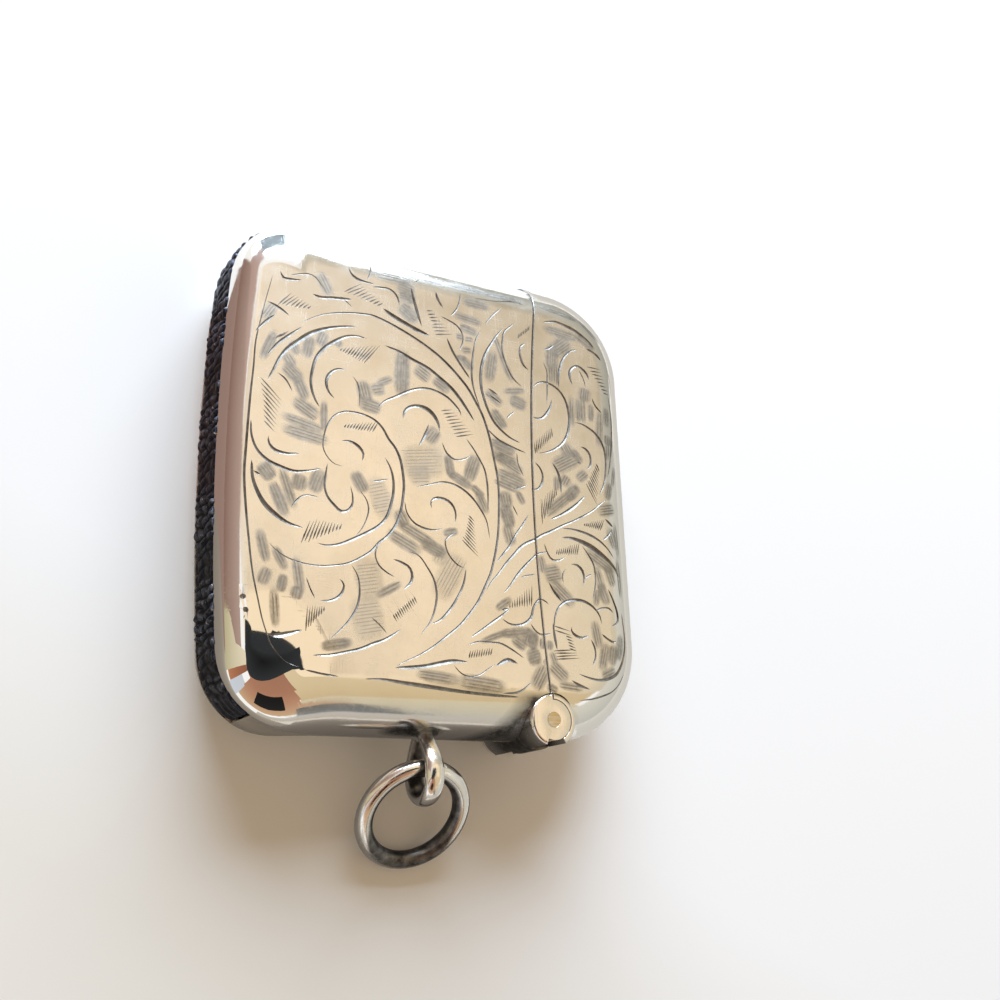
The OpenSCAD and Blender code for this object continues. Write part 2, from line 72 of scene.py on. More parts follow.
# Long cuts of the engraver: width, then the points that the cut runs through, all in millimetres.
CUTS = [
    # left border and upper left
    (0.15, [-15.3, 14.1, -15.7, 12.3, -16.05, 10.55, -16.45, 8.3, -16.55, 6.2, -16.7, 4, -16.8, 2, -16.88, -0.1,
            -16.94, -2, -16.75, -4.5, -16.44, -7, -16.06, -9.5, -15.6, -11.4, -15.25, -12.75, -14.94, -13.6,
            -14.6, -14.4, -14, -15.1, -13.3, -15.6, -12.5, -15.9]),
    (0.22, [-16.6, 2, -16.5, 0.75, -16.06, -0.25, -15.25, -0.94, -14.25, -1.3, -13.25, -1.5, -12.1, -1.3,
            -11.06, -0.98]),
    (0.2, [-14.72, 14.6, -14.44, 14.1, -13.78, 14.1, -12.94, 14.24]),
    (0.12, [-13.95, 14.4, -13.2, 14.7, -12.33, 14.9, -11.9, 14.8, -11.2, 14]),
    (0.25, [-12.06, 13.28, -11.6, 13.15, -10.33, 13.33, -9.44, 13.44, -8.72, 13.56]),
    (0.08, [-9.78, 13.67, -8.72, 12.89]),
    (0.2, [-9.06, 16.4, -8.83, 15.83, -8.33, 15.5, -7.56, 15.39, -6.83, 15.39]),
    (0.15, [-7.1, 17.1, -7.17, 16.33, -7.44, 15.67]),
    (0.18, [-15.67, 11.78, -15.22, 11.67, -14.56, 11.39, -13.89, 10.98]),
    (0.2, [-16.5, 9.1, -16, 9.78, -15.44, 10.39, -15, 10.83]),
    (0.2, [-15.56, 7.33, -14.78, 8.44, -14, 9.22, -12.83, 10.28]),
    (0.2, [-12.94, 10.6, -12.1, 11.17, -11.2, 11.67, -10.1, 12.06, -9, 12.33, -7.9, 12.5, -6.9, 12.56, -6.3, 12.44,
           -5, 12.06, -3.67, 11.56, -2.3, 10.94, -1, 10.2, 0, 9.44, 0.78, 8.72, 1.56, 7.89, 2.2, 6.9, 2.78, 5.9,
           3.2, 4.8, 3.56, 3.44, 3.83, 2, 4.1, 0.5, 4.16, -1.1, 4.1, -2.6, 4, -4, 3.8, -5.25, 3.5, -6.5, 3.2, -7.5,
           2.6, -8.75, 2, -9.9, 1.25, -10.9, 0.25, -12, -0.75, -12.8, -2, -13.75, -3.25, -14.5, -4.5, -15.1,
           -5, -15.4]),
    (0.3, [-15.44, 5.39, -15.1, 6.1, -14.56, 7.33, -14, 8.17, -13.2, 8.94, -12.1, 9.9, -11, 10.5, -9.8, 10.94,
           -8.4, 11.28]),
    (0.25, [-7.44, 10.42, -8.33, 10.47, -9.1, 10.28, -10.1, 9.67, -11, 8.89, -11.67, 7.9, -11.94, 6.89, -12.06, 5.9,
            -11.9, 5, -11.6, 4.33, -11.3, 3.9]),
    (0.22, [-9.2, 7.39, -9.9, 7.33, -10.44, 6.94, -10.78, 6.33, -10.78, 5.78, -10.5, 5.17, -10.1, 4.83]),
    (0.12, [-14.72, 6.1, -14.1, 5.72, -13.72, 5.2, -13.5, 4.78]),
    (0.1, [-8.67, 7, -8.28, 6.55, -8.05, 5.67, -8.05, 4.55]),
    # middle spiral
    (0.18, [-9.3, -0.54, -10.06, -0.44, -10.6, 0, -10.94, 0.6, -10.9, 1.75, -10.56, 2.78, -10.1, 3.44, -9.33, 3.89,
            -8.44, 4, -7.44, 3.89, -6.67, 3.6, -6.1, 3.1, -5.6, 2.3, -5, 1.6, -4.6, 0.75, -4.4, -0.25, -4.3, -1.4,
            -4.4, -2.4, -4.6, -3.5, -5.1, -4.75, -5.75, -5.6, -6.5, -6.25, -6.85, -6.7, -7.75, -7.4, -9, -8.06,
            -10, -8.3, -11, -8.44, -12.25, -8.4, -13.25, -8.2, -14.25, -7.75, -15, -7.1]),
    (0.2, [-9.5, 1.5, -8.75, 1.55, -8.1, 1.25, -7.7, 0.75, -7.8, 0.1]),
    (0.22, [-5.9, 0.7, -5.5, 0.06, -5.2, -1, -5.2, -2, -5.4, -3, -5.9, -4.25, -6.5, -4.9, -7, -5.25, -7.75, -5.7,
            -8.75, -6.25, -9.75, -6.7, -10.75, -6.85, -11.3, -6.75]),
    (0.12, [-7, -1.4, -6.4, -1.25, -5.6, -1]),
    # lower left
    (0.22, [-15.25, 0.94, -15.2, 0.44, -14.75, -0.06, -14, -0.22, -12.8, -0.06]),
    (0.3, [-16.44, -1.1, -16.3, -2.5, -15.94, -3.4, -15.4, -4.25, -14.6, -4.94, -13.6, -5.5, -12.4, -5.75]),
    (0.15, [-16.3, -1.9, -15.7, -2.2]),
    (0.12, [-13.4, -4.4, -13, -3.75, -12.5, -3.3, -11.75, -3.2, -11.25, -3.25]),
    (0.18, [-10.6, -0.5, -10.75, -1.5, -10.8, -2.4, -10.56, -3.1, -10, -3.7, -9.44, -4.1, -9, -4, -8.6, -3.5,
            -8.56, -2.75, -8.75, -2]),
    (0.1, [-8, -2.25, -7.44, -2.9, -7.25, -3.6, -7.44, -4.5, -7.9, -5.4, -8.3, -5.9]),
    (0.18, [-9.56, -9.25, -9.2, -9.6, -9.25, -10.1, -9.6, -10.6, -10.25, -10.94, -11, -11]),
    (0.14, [-8.6, -8.1, -8.1, -8.9, -7.94, -9.9, -8.1, -11.1, -8.75, -12.25, -9.5, -13.1, -10.25, -13.8]),
    (0.1, [-12.1, -9.4, -11.75, -10.25, -11.4, -10.9]),
    (0.3, [-15, -13.7, -14.25, -13.8, -13.4, -13.6, -12.3, -13.25]),
    (0.22, [-11.5, -15, -10.25, -14.9, -9, -14.6, -7.75, -14.25, -6.75, -13.8, -6.1, -13.56, -5.25, -13.06,
            -4.6, -12.6]),
    (0.14, [-12.06, -16.06, -10.9, -16.25, -9.5, -16.4]),
    (0.25, [-7.5, -16.44, -6, -16.4, -4.5, -16.54, -2, -16.75, 0.5, -16.94, 3, -17.06, 5.5, -17.1]),
    # upper middle and right of the body
    (0.35, [-6.06, 13.4, -5.2, 12.94, -4.2, 12.56, -3.1, 12.17, -1.94, 11.9]),
    (0.26, [-5.94, 10.17, -4.78, 9.94, -3.44, 9.44, -2, 8.94, -1, 8.33, 0.1, 7.56, 0.9, 6.7, 1.56, 5.83, 2.1, 5.06]),
    (0.2, [-6.56, 4.67, -6, 5.33, -5, 5.94, -4.1, 6.5, -3.2, 6.94, -2.2, 7.17, -1.2, 7.06, -0.33, 6.72, 0.33, 6.2,
           0.78, 5.67, 0.87, 5.3]),
    (0.3, [-4.33, 4.17, -4.17, 4.9, -3.67, 5.33, -2.9, 5.5, -2.1, 5.33, -1.44, 4.72, -1.17, 4.1, -1.13, 3.67]),
    (0.2, [-2.1, 4.1, -2.3, 3.44, -2.67, 2.67, -3, 2.1]),
    (0.14, [-0.94, 2.78, -0.5, 1.9, 0.1, 1.5, 0.9, 1.6, 1.6, 2]),
    (0.15, [1.28, 3.44, 1.9, 2.7, 2.4, 1.95, 2.88, 1.1, 3.1, 0, 3.15, -1.4, 3.1, -2.5]),
    (0.18, [-7, 15.1, -6.1, 15.24, -5.44, 15.24, -5, 15, -4.72, 14.56, -4.6, 14]),
    (0.22, [-3.56, 15.9, -3.33, 14.9, -3.1, 14.1, -2.83, 13.2, -2.6, 12.56]),
    (0.1, [-2.78, 16.9, -3.2, 16.3]),
    (0.2, [-1.28, 16.06, -1.17, 15.56, -0.9, 15.06, -0.6, 14.67]),
    (0.15, [1.06, 16.44, 0.94, 15.67, 0.67, 14.9, 0.06, 14.1]),
    (0.13, [-0.9, 13.9, -0.1, 13.67, 0.67, 13.33, 1.06, 12.9, 1.2, 12.2, 1.06, 11.67, 0.72, 11]),
    (0.2, [-0.33, 12.06, 0.1, 11.1, 0.67, 10.2, 1.2, 9.5, 1.78, 8.78]),
    (0.1, [2.33, 16.33, 4.67, 16.56, 6.1, 16.9, 7.44, 16.94]),
    (0.16, [2.9, 13.44, 2.44, 12.56, 2.17, 11.44, 2, 10.1, 1.94, 9, 2.1, 7.9, 2.4, 7, 2.67, 6.33]),
    (0.24, [5.1, 14.1, 4.56, 13.44, 3.9, 12.44, 3.33, 11.44, 2.94, 10.33, 2.78, 9.2, 2.83, 8.1, 3.06, 7.2, 3.44, 6.2,
            3.94, 5.33, 4.67, 4.67, 5.44, 4.2, 6.4, 3.9]),
    (0.15, [6.33, 14.9, 5.78, 14.4, 5.2, 13.8, 5, 13, 4.94, 12.1, 5.1, 11.3, 5.44, 10.4, 6, 9.56, 6.78, 9]),
    (0.12, [5, 16, 4.2, 15.2, 3.56, 14.4, 3.33, 14.06]),
    (0.2, [7.28, 13.17, 6.83, 12.83, 6.67, 12.2, 6.78, 11.56, 7.06, 11, 7.5, 10.7]),
    (0.15, [3.44, 8.28, 4.4, 7.8]),
    (0.15, [3.5, 7.7, 4.7, 7.1]),
    (0.12, [5.1, 5.8, 5.44, 6.2, 6, 6.7]),
    (0.18, [3.2, 4.67, 3.67, 4.3, 4.33, 3.83, 5, 3.56, 5.9, 3.33, 6.9, 3.1]),
    # lower middle and right of the body
    (0.15, [-3.25, -1.3, -2, -0.9, -0.9, -0.56, 0, -0.6, 0.9, -0.94, 1.75, -1.56, 2.44, -2.4, 2.94, -3.25, 3.1, -4,
            3.2, -4.75]),
    (0.2, [-1.9, -2.9, -2, -2.4, -1.75, -2.06, -1, -1.94, -0.4, -2.1, 0.06, -2.6, 0.19, -3.25, 0.1, -3.75]),
    (0.14, [-4.25, -2.6, -4.06, -3.5, -3.5, -4.2, -2.6, -4.56, -1.75, -4.6, -1, -4.4]),
    (0.12, [0.2, -4.5, -0.5, -5, -0.75, -5.25, -0.7, -6, -0.25, -6.75, 0.4, -7.25, 0.9, -7.4]),
    (0.16, [6.9, -2.25, 6.25, -3.25, 5.6, -4.1, 5, -5.1, 4.25, -6, 3.75, -6.6]),
    (0.2, [14.75, 0.1, 14.1, -0.4, 13.25, -1.1, 12.25, -1.7, 11.25, -2.25, 10.1, -2.8, 9, -3.4, 8, -3.9, 7.4, -4.3,
           6.75, -4.6, 6, -5.1, 5.4, -5.75, 4.6, -6.6, 3.9, -7.5, 3.1, -8.4, 2.75, -9]),
    (0.18, [8.7, -5.2, 8.1, -5.3, 7.6, -5.5, 7, -6, 6.1, -6.9, 5.5, -7.6, 4.9, -8.4, 4.25, -9.1]),
    (0.1, [5.9, -7.6, 6.5, -7.4, 7.4, -7.2]),
    (0.2, [4.1, -11.1, 4.75, -11.44, 5.5, -11.5, 6.25, -11.25, 6.75, -10.8, 7, -10, 7.3, -9.5, 7.6, -9.25, 8.1, -9.3,
           8.5, -9.6]),
    (0.18, [4.9, -10.2, 4, -10.9, 3, -11.6, 2, -12.3, 1.25, -12.8]),
    (0.2, [4.1, -10.4, 4.75, -10.25]),
    (0.13, [6.7, -11.25, 7, -11.7, 7.5, -12.05, 8.1, -12.05, 8.7, -11.9]),
    (0.13, [1, -13.4, 1.75, -13.1, 3, -13.04, 3.9, -13.06, 4.75, -13.4, 5.5, -13.8, 6, -14.1]),
    (0.3, [-5.1, -15.5, -3.9, -15.4, -2.5, -15.2, -1.4, -14.94, -0.25, -14.7, 1, -14.7]),
    (0.1, [-0.25, -15, 0.4, -15.6, 1.1, -15.8, 2, -15.6, 2.75, -15.1, 3.4, -14.7]),
    (0.28, [3.4, -14.9, 3.9, -14.56, 4.6, -14.3, 5.4, -14.56]),
    (0.15, [4, -16.9, 5.5, -16.7, 6.6, -15.9]),
    (0.12, [-5.9, -5.75, -6.5, -6.4, -6.7, -7.1, -6.4, -7.9, -5.75, -8.4, -5.06, -8.7]),
    (0.2, [-5.25, -7.3, -4.5, -7.5, -3.9, -7.8, -3.65, -8.4, -3.8, -9, -4.4, -9.56]),
    (0.15, [-3.9, -6.56, -3.1, -6.8, -2.4, -7.6, -1.8, -8.6, -1.6, -9.6, -1.75, -10.75, -2.2, -11.9, -3, -12.9]),
    (0.18, [1, -7.4, 0.75, -8.6, 0.1, -9.9, -0.6, -10.9, -1.5, -11.75, -2.1, -12]),
    (0.1, [-7, -11.9, -6.25, -12.5, -5.75, -13]),
    (0.1, [6, 3, 6.1, 2, 6.6, 1]),
    (0.1, [5.5, -0.25, 6.25, 0, 6.9, 0.3]),
    (0.1, [5.4, -1.6, 5.9, -2.5]),
    # upper lid
    (0.2, [10.5, 9.56, 10.5, 10.56, 10.67, 11.44, 11, 12.33, 11.56, 13.1, 12.2, 13.56, 12.67, 13.67]),
    (0.22, [13.56, 14, 14.2, 13.83, 14.78, 13.56, 15.2, 13.17]),
    (0.24, [11.94, 10.2, 11.7, 10.8, 11.7, 11.33, 12, 11.83, 12.56, 12.1, 13.1, 11.9, 13.56, 11.44, 13.7, 11]),
    (0.1, [12.67, 11.8, 13.1, 11, 13.33, 10.2]),
    (0.15, [13.9, 9.33, 14.2, 8.67, 14.9, 8.06]),
    (0.25, [9.1, 15.56, 9.78, 15.78, 10.44, 15.94, 11.2, 15.83, 12.2, 15.6, 13.2, 15.17, 14, 14.7, 14.5, 14.2]),
    (0.15, [9.06, 12.94, 9.67, 13.2, 10.2, 13.67]),
    (0.12, [9, 11.8, 9.33, 11, 9.33, 10.1, 9.28, 9, 9.17, 7.9]),
    (0.22, [7.83, 9.2, 8.33, 9.67, 9, 9.9, 9.78, 9.78, 10.44, 9.44, 11, 8.78, 11.28, 8, 11.4, 7.1, 11.33, 6.2,
            11.06, 5.33, 10.67, 4.67, 9.9, 4, 9.1, 3.56, 8.1, 3.28]),
    (0.22, [9.72, 8.44, 9.5, 7.67, 9.1, 7, 8.56, 6.5, 8.1, 6.4, 7.67, 6.5]),
    (0.12, [12, 3.1, 12.4, 3]),
    (0.18, [15.83, 10, 16, 9, 16.1, 7.9, 16.06, 6.8, 15.9, 5.44, 15.67, 4.2, 15.4, 3.1, 15.1, 2.1]),
    (0.06, [15.8, 13, 16.2, 11.9, 16.3, 10]),
    (0.2, [11.9, 6.7, 12.67, 6.67, 13.33, 6.44, 14, 6.06, 14.56, 5.44, 14.9, 4.67, 15, 3.8, 14.94, 2.9, 14.67, 1.56,
           14.1, 0.44]),
    (0.2, [12.4, 4.56, 12.9, 4.44, 13.28, 4.06, 13.4, 3.44, 13.28, 2.9, 12.94, 2.56]),
    (0.1, [14.06, 3.2, 14.2, 2.56]),
    (0.18, [7.72, 2.44, 8.2, 2, 8.44, 1.44, 8.33, 0.67, 7.9, 0.1, 7.3, 0]),
    (0.2, [9.44, 2.67, 9.9, 2, 10.17, 1.2, 10.2, 0]),
    # lower lid
    (0.25, [9, -2.4, 10.25, -1.75, 11.5, -0.9, 12.7, 0.25]),
    (0.18, [10.1, -3, 11, -2.96, 12, -3.06, 13, -3.3, 13.9, -3.7, 14.6, -4.25, 15.25, -5]),
    (0.35, [10.06, -3.8, 11, -3.75, 12, -3.94, 13, -4.3, 13.9, -4.8, 14.75, -5.4, 15.4, -6, 15.7, -6.6]),
    (0.15, [8.3, -4.5, 8.56, -5.25, 9, -5.8, 9.6, -5.8, 10.3, -5.44]),
    (0.2, [10.8, -6, 11.4, -6, 11.9, -6.4, 12.06, -7, 11.9, -7.75]),
    (0.1, [10.3, -6.4, 9.94, -7, 10, -7.75]),
    (0.13, [12, -4.25, 12.6, -5, 13.06, -5.75, 13.2, -6.75, 13.1, -7.75, 12.8, -8.75]),
    (0.12, [12.1, -7.1, 12.5, -6.8, 12.9, -6.6]),
    (0.2, [14.4, -7.75, 14.9, -8.75, 15.25, -9.75, 15.25, -10.4, 14.5, -10.9]),
    (0.2, [8.9, -11.5, 9, -10.6, 9.4, -9.75, 10.1, -9.2, 11.1, -8.96, 12.1, -9.06, 12.9, -9.5, 13.4, -10.1,
           13.56, -10.8]),
    (0.2, [8.8, -11, 8.9, -12.1, 9.1, -13.25]),
    (0.15, [13, -9.75, 13.75, -9.4, 14.4, -9.4, 14.8, -9.75]),
    (0.2, [10.6, -11.2, 10.56, -11.6, 10.9, -11.9, 11.5, -12.06, 12.25, -11.8]),
    (0.15, [12.4, -12.1, 12.75, -12.9, 12.75, -13.6, 12.4, -14.3]),
    (0.18, [13.5, -11.6, 14.1, -12, 14.75, -12.2, 15, -12.1]),
    (0.22, [11, -15, 11.9, -15.25, 12.9, -15.4, 13.9, -15.25, 14.9, -14.75, 15.5, -13.9, 15.9, -12.75, 16, -11.5,
            15.9, -10.5, 15.8, -9.6]),
    (0.2, [10.3, -15.56, 11, -15.9, 12.06, -16.2]),
    (0.12, [11.1, -17.1, 12.25, -16.94, 13.5, -16.6, 14.5, -16.2, 15.25, -15.6, 15.9, -14.6]),
    (0.2, [14.5, -1.6, 15.4, -2.25]),
    (0.18, [15.3, -2.4, 14.75, -3.1, 14.1, -3.6]),
    (0.18, [8.56, -7.7, 9, -8.4, 9.75, -9.25]),
]

# Rows of short shading ticks: first centre, last centre, count, tick angle in degrees, first and last length.
TICKS = [
    (-8.7, 14.6, -6.3, 13.7, 9, 34, 1.4, 0.5), (-14.3, 12.3, -12.3, 12.05, 8, 47, 1.3, 0.4),
    (-7, 9.2, -9.6, 9.05, 11, 55, 1.8, 0.3), (-15.15, 4.65, -15.2, 1.7, 9, -43, 1.7, 0.8),
    (-9.2, 2.75, -6.7, 3.1, 11, 60, 0.3, 0.9), (-12.2, -6, -9.5, -5.3, 11, 70, 1.7, 0.4),
    (-12, -12.4, -10.7, -11.6, 8, 85, 1.5, 0.3), (-0.45, 5.6, 1.15, 3.7, 9, 15, 0.75, 1.4),
    (-1.85, 14.15, -0.6, 12.3, 8, 12, 0.5, 1.3), (6.6, 13.7, 7.7, 14.7, 7, 80, 0.4, 0.4),
    (1.6, -3.25, 1.4, -5.7, 10, -42, 0.5, 1.4), (4.85, -10, 6.9, -9, 10, 88, 0.3, 1.3),
    (1.15, -14.1, 3.05, -13.75, 10, 75, 0.5, 0.5), (-5.1, -11.8, -3.4, -10.3, 12, -60, 0.5, 0.5),
    (14.3, 12.25, 15.6, 10.1, 8, 2, 1.15, 0.6), (7.8, 3.7, 9.55, 5.4, 11, 94, 0.9, 0.7),
    (14.1, 2.9, 13.3, 0.4, 10, -62, 0.6, 1.6), (8.2, -1.8, 9.7, 0.2, 10, 94, 1.6, 0.7),
    (9.5, -5.1, 11.6, -4.6, 11, 75, 0.4, 0.9), (12.4, -2.4, 14.2, -2.2, 10, 65, 0.2, 1),
    (9.65, -11.45, 9.75, -11.8, 2, -13, 1.2, 1.2), (10.3, -12.1, 10.6, -13.1, 5, -15, 0.5, 0.5),
    (9.8, -13.2, 10.1, -13.85, 4, 4, 1.8, 1.8), (-14.7, 9.1, -14.2, 9.4, 3, 45, 0.6, 0.6),
]

# Blocks of hatched ground between the leaves: centre, length, width, angle of the hatch in degrees.
GROUND = [
    (-11.05, 14.35, 1.7, 0.75, -62), (-15.5, 10.95, 1.4, 0.7, 60), (-15.45, 8.2, 2.2, 0.55, 69),
    (-13.8, 7.3, 1, 0.7, -55), (-13.4, 8.4, 1, 0.6, -60), (-12.3, 8.7, 1.6, 0.7, 80), (-11.2, 9.6, 1.2, 0.7, 70),
    (-9.85, 9.5, 0.6, 0.5, 60), (-13.5, 6.3, 1.5, 0.9, -40), (-12.8, 5.2, 1.6, 0.7, -65), (-12.4, 3.6, 1.9, 0.9, -30),
    (-10.95, 3.3, 2, 0.45, 90), (-12.6, 2.4, 2.8, 0.6, -12), (-12.4, 1.5, 3, 0.8, -8), (-7.65, 5.9, 1.5, 0.9, -75),
    (-6.5, 6.3, 1, 0.8, 20), (-7.2, 4.8, 1.6, 0.9, -10), (-15.3, -1.8, 1.2, 0.9, -50), (-13.65, -2.9, 2.5, 0.6, -70),
    (-14.3, -3.8, 2.2, 0.7, -65), (-12.8, -2.3, 1.1, 0.9, 80), (-11.4, -2, 1.6, 0.9, 70), (-8, -1.6, 1.5, 0.8, -60),
    (-15.4, -7.4, 2, 0.6, -75), (-14.1, -8.2, 1.5, 0.55, -60), (-12.7, -9.3, 2.2, 0.6, -80),
    (-15.2, -9.6, 1.1, 0.7, 70),
    (-13.9, -10, 1.1, 0.55, 80), (-14.4, -11.8, 2.3, 0.55, -85), (-12.8, -10.6, 0.8, 0.7, 80), (-7.5, 17.2, 3, 0.4, 0),
    (-4, 15.7, 1.4, 1, -10), (-3.8, 13.5, 1.6, 1, -35), (1.7, 14.2, 2.2, 0.6, -5), (1.75, 13.2, 1.4, 0.6, -10),
    (0.9, 12.4, 0.6, 0.5, 0), (1.75, 12.35, 0.7, 0.4, 5), (1.5, 11.3, 0.8, 0.5, 10), (1, 10.5, 0.8, 0.4, 0),
    (1.5, 10.1, 1.1, 0.6, -40), (2.5, 15.8, 2.2, 0.7, 0), (4.6, 12.2, 2, 0.4, -70), (5.3, 10.4, 2, 0.5, -65),
    (3.8, 10.3, 2.5, 0.8, 80), (6, 8.5, 1.8, 0.45, 12), (6.3, 7.5, 1.4, 0.9, -15), (4, 7.5, 1.5, 0.7, -35),
    (4.4, 5.7, 1.6, 0.7, -50), (4.7, 3.3, 2, 0.7, -15), (4.8, 2.4, 2, 0.8, -15), (-1.8, 3.2, 1.3, 0.9, 55),
    (-0.3, 0.9, 1.5, 0.6, -80), (1.75, 1, 2, 0.9, 70), (0.6, -0.15, 2, 0.6, -25), (2.6, -1.8, 1.6, 0.6, -65),
    (-4.5, -4, 1.2, 0.8, -60), (-3.3, -5.1, 3.2, 0.7, -25), (-4.3, -5.9, 2.5, 0.8, -25), (5.2, 1.9, 2.4, 0.8, -25),
    (5.4, 0.6, 2.3, 0.9, -15), (4.9, -0.1, 1.9, 0.4, -15), (4.8, -1.2, 1.2, 0.9, -80), (4.9, -2.6, 1.7, 0.9, -75),
    (5, -4.2, 1.5, 0.8, -75), (2.2, -16.3, 3.4, 0.9, -5), (-1.5, -16, 3, 0.7, -5), (5.4, -12.1, 2.6, 0.6, 8),
    (5.6, -12.9, 1.2, 0.7, -30), (6.9, -12.6, 1.2, 0.7, 85), (6.9, -13.9, 1.1, 1, 20), (7.4, -15.5, 1.8, 1, 60),
    (6.6, -12.5, 1.2, 1, 70), (7.7, -12.8, 0.8, 0.4, 85), (8.4, -12.9, 0.7, 0.5, 85), (11, 14.9, 3, 0.7, -5),
    (13.5, 14.6, 1.8, 0.6, -30), (10.9, 13.6, 2, 1.2, 40), (9.9, 12.4, 2, 1, 85), (10, 10.9, 1.7, 0.9, 88),
    (13.15, 9.5, 1.2, 1, 80), (11.7, 7.7, 2.4, 0.5, 90), (12.4, 7.9, 1.8, 0.5, 90), (12.9, 8, 2, 0.4, 90),
    (13.7, 7.9, 1.4, 0.5, 88), (14.5, 6.5, 2.8, 0.6, 85), (15.4, 7.8, 1.5, 0.6, 88), (15.4, 5.65, 0.8, 0.7, 85),
    (15.3, 4.6, 1.3, 0.5, 85), (11, 4, 1.2, 1, -60), (10.8, 2.9, 2.4, 1.2, 30), (12, 3.6, 1.2, 0.6, -50),
    (10.7, 1.2, 0.9, 0.8, 60), (9.8, 0.9, 1.1, 0.5, 85), (11.4, 0.3, 1.4, 0.8, 50), (15.1, 0.9, 1.4, 0.6, 75),
    (10.3, -0.6, 3.6, 0.7, 40), (13.9, -5.4, 2.8, 0.9, -30), (13.6, -7, 2, 0.6, -75), (13.9, -8.2, 1.6, 0.7, -70),
    (13.2, -8.6, 1.2, 0.5, 80), (14.7, -6.6, 1.5, 0.7, -70), (13, -11.7, 1.9, 0.7, -80), (13.6, -13.5, 2, 0.7, 75),
    (14.5, -13.3, 1.4, 0.7, 80), (15.3, -12.6, 1.8, 0.6, 80), (14, -14.8, 1.3, 0.6, 25), (9.2, -15, 1.6, 0.9, -40),
    (10.3, -16.1, 1.9, 0.5, -5), (8.7, -13.9, 0.9, 0.5, -70), (14.7, -0.8, 1.6, 0.9, 15), (15.2, -3.3, 1.6, 0.7, -70),
    (9, -7, 1.4, 1.2, 15), (9.9, -8.6, 2.2, 0.9, -40), (8, -6.3, 1.2, 0.6, -80),
    (-4.4, 8.1, 3.3, 1, 88), (-2.6, 8.4, 1.3, 0.9, -30), (-0.9, 7.7, 1.4, 0.7, -30), (-5.3, 16.6, 3, 1.1, 0),
    (-3.9, 14.9, 1.3, 0.8, -5), (-5.6, -9.7, 1.9, 0.5, 30), (-1.8, -6.1, 1.9, 0.8, -20), (-0.3, -4.6, 1.1, 0.5, 15),
    (-5.9, 7.1, 1.2, 0.5, 30), (2.2, -0.9, 1.1, 0.5, -35), (6.2, -0.9, 1, 0.5, -60), (12.4, 1.9, 1.1, 0.7, 40),
    (-2, 17, 3.6, 0.5, 0), (1.8, 17.1, 3.6, 0.5, 0), (5.4, 17.1, 3, 0.45, 2), (11, 16.9, 3.6, 0.35, -8),
    (14.2, 15.9, 2.2, 0.35, -38), (15.7, -3.4, 2.6, 0.35, -86), (15.75, -6.6, 2.8, 0.35, -86),
    (15.85, 2.4, 1.6, 0.35, 80),
    (4.3, -9.9, 1.4, 0.5, 35), (3.3, -12.6, 2, 0.4, 22), (8.5, -16.3, 0.9, 0.5, -20), (-9.7, -14.1, 2, 0.6, 12),
]

# Wider patches of light hatching: centre, length, width, angle of the hatch in degrees.
HATCH = [
    (-2.6, 0.9, 3.2, 2, 10), (-3, -0.3, 1.6, 1.2, 10), (-6.3, -2.6, 1.5, 2.4, 18), (-7.2, -9, 1.9, 2.4, 12),
    (-7.3, -12, 2.2, 2.4, 12), (-0.5, -8.2, 3.4, 1.5, 60), (-1.2, -6.6, 1.4, 0.9, 60),
]

# Tarnish left in each kind of cut, from bright to black.
TONES = {"cut": 0.9, "tick": 0.95, "ground": 0.7, "hatch": 0.46, "pit": 0.94, "seam": 0.8}

# Lightest and darkest grey of a dab of ground in its middle.
DAB_GREYS = {"ground": (0.46, 0.7), "hatch": (0.2, 0.3)}

# The lid's ground, beyond this x, is cut more lightly.
LID_FROM, LID_GREY = 7.5, 0.85

# A dab is this much longer and wider than its hatching, and fades over DAB_SOFT up to DAB_EDGE times its half size.
DAB_LONG, DAB_WIDE = 1.22, 1.45
DAB_EDGE, DAB_SOFT = 1.15, 0.4
DAB_RINGS = (1.15, 1.02, 0.88, 0.75)
DAB_DARKEST = 0.78

# Middle, radius and soft edge of the corner that handling has polished.
WORN = (-14.6, -15.2, 5.2, 1.5)

# Two small pits knocked into the rounded edge above the striker: length along the edge, then two points.
PITS = [(0.4, [-16.72, -11.0, -16.64, -11.4]), (0.36, [-16.5, -11.95, -16.4, -12.35])]

# Width and slope of the seam's rounded edges, the y from which they are rounded, and where their line of points starts.
SEAM_EDGE, SEAM_SLOPE = 0.07, 0.6
SEAM_FROM, SEAM_LINE_FROM = -16.6, -16.4

# Length of side over which the roll deepens from the base's rounding to the side's own.
ROLL_GROWS = 6.5

# Depth from which a place counts as cut.
CUT_FROM = 1e-4

# Rounding of an edge that is nearly sharp, rounding at the corners of the hinge's outer edges, and play round the pin.
FINE_EDGE, CORNER_EDGE = 0.03, 0.05
PIN_PLAY = 0.01

# Angles round the hinge, in degrees, between which the body's tabs and the lid's ears reach.
TAB_ARC, EAR_ARC = (91.4, 250), (-60.65, 88.6)


def length(name, description, millimetres):
    """A size property, given in millimetres and kept in metres."""
    return bpy.props.FloatProperty(
        name=name, description=description, default=millimetres * MM, precision=5, unit="LENGTH")


def colour(name, description, rgb):
    """A colour property of linear red, green and blue."""
    return bpy.props.FloatVectorProperty(
        name=name, description=description, default=rgb, size=3, min=0, max=1, subtype="COLOR")


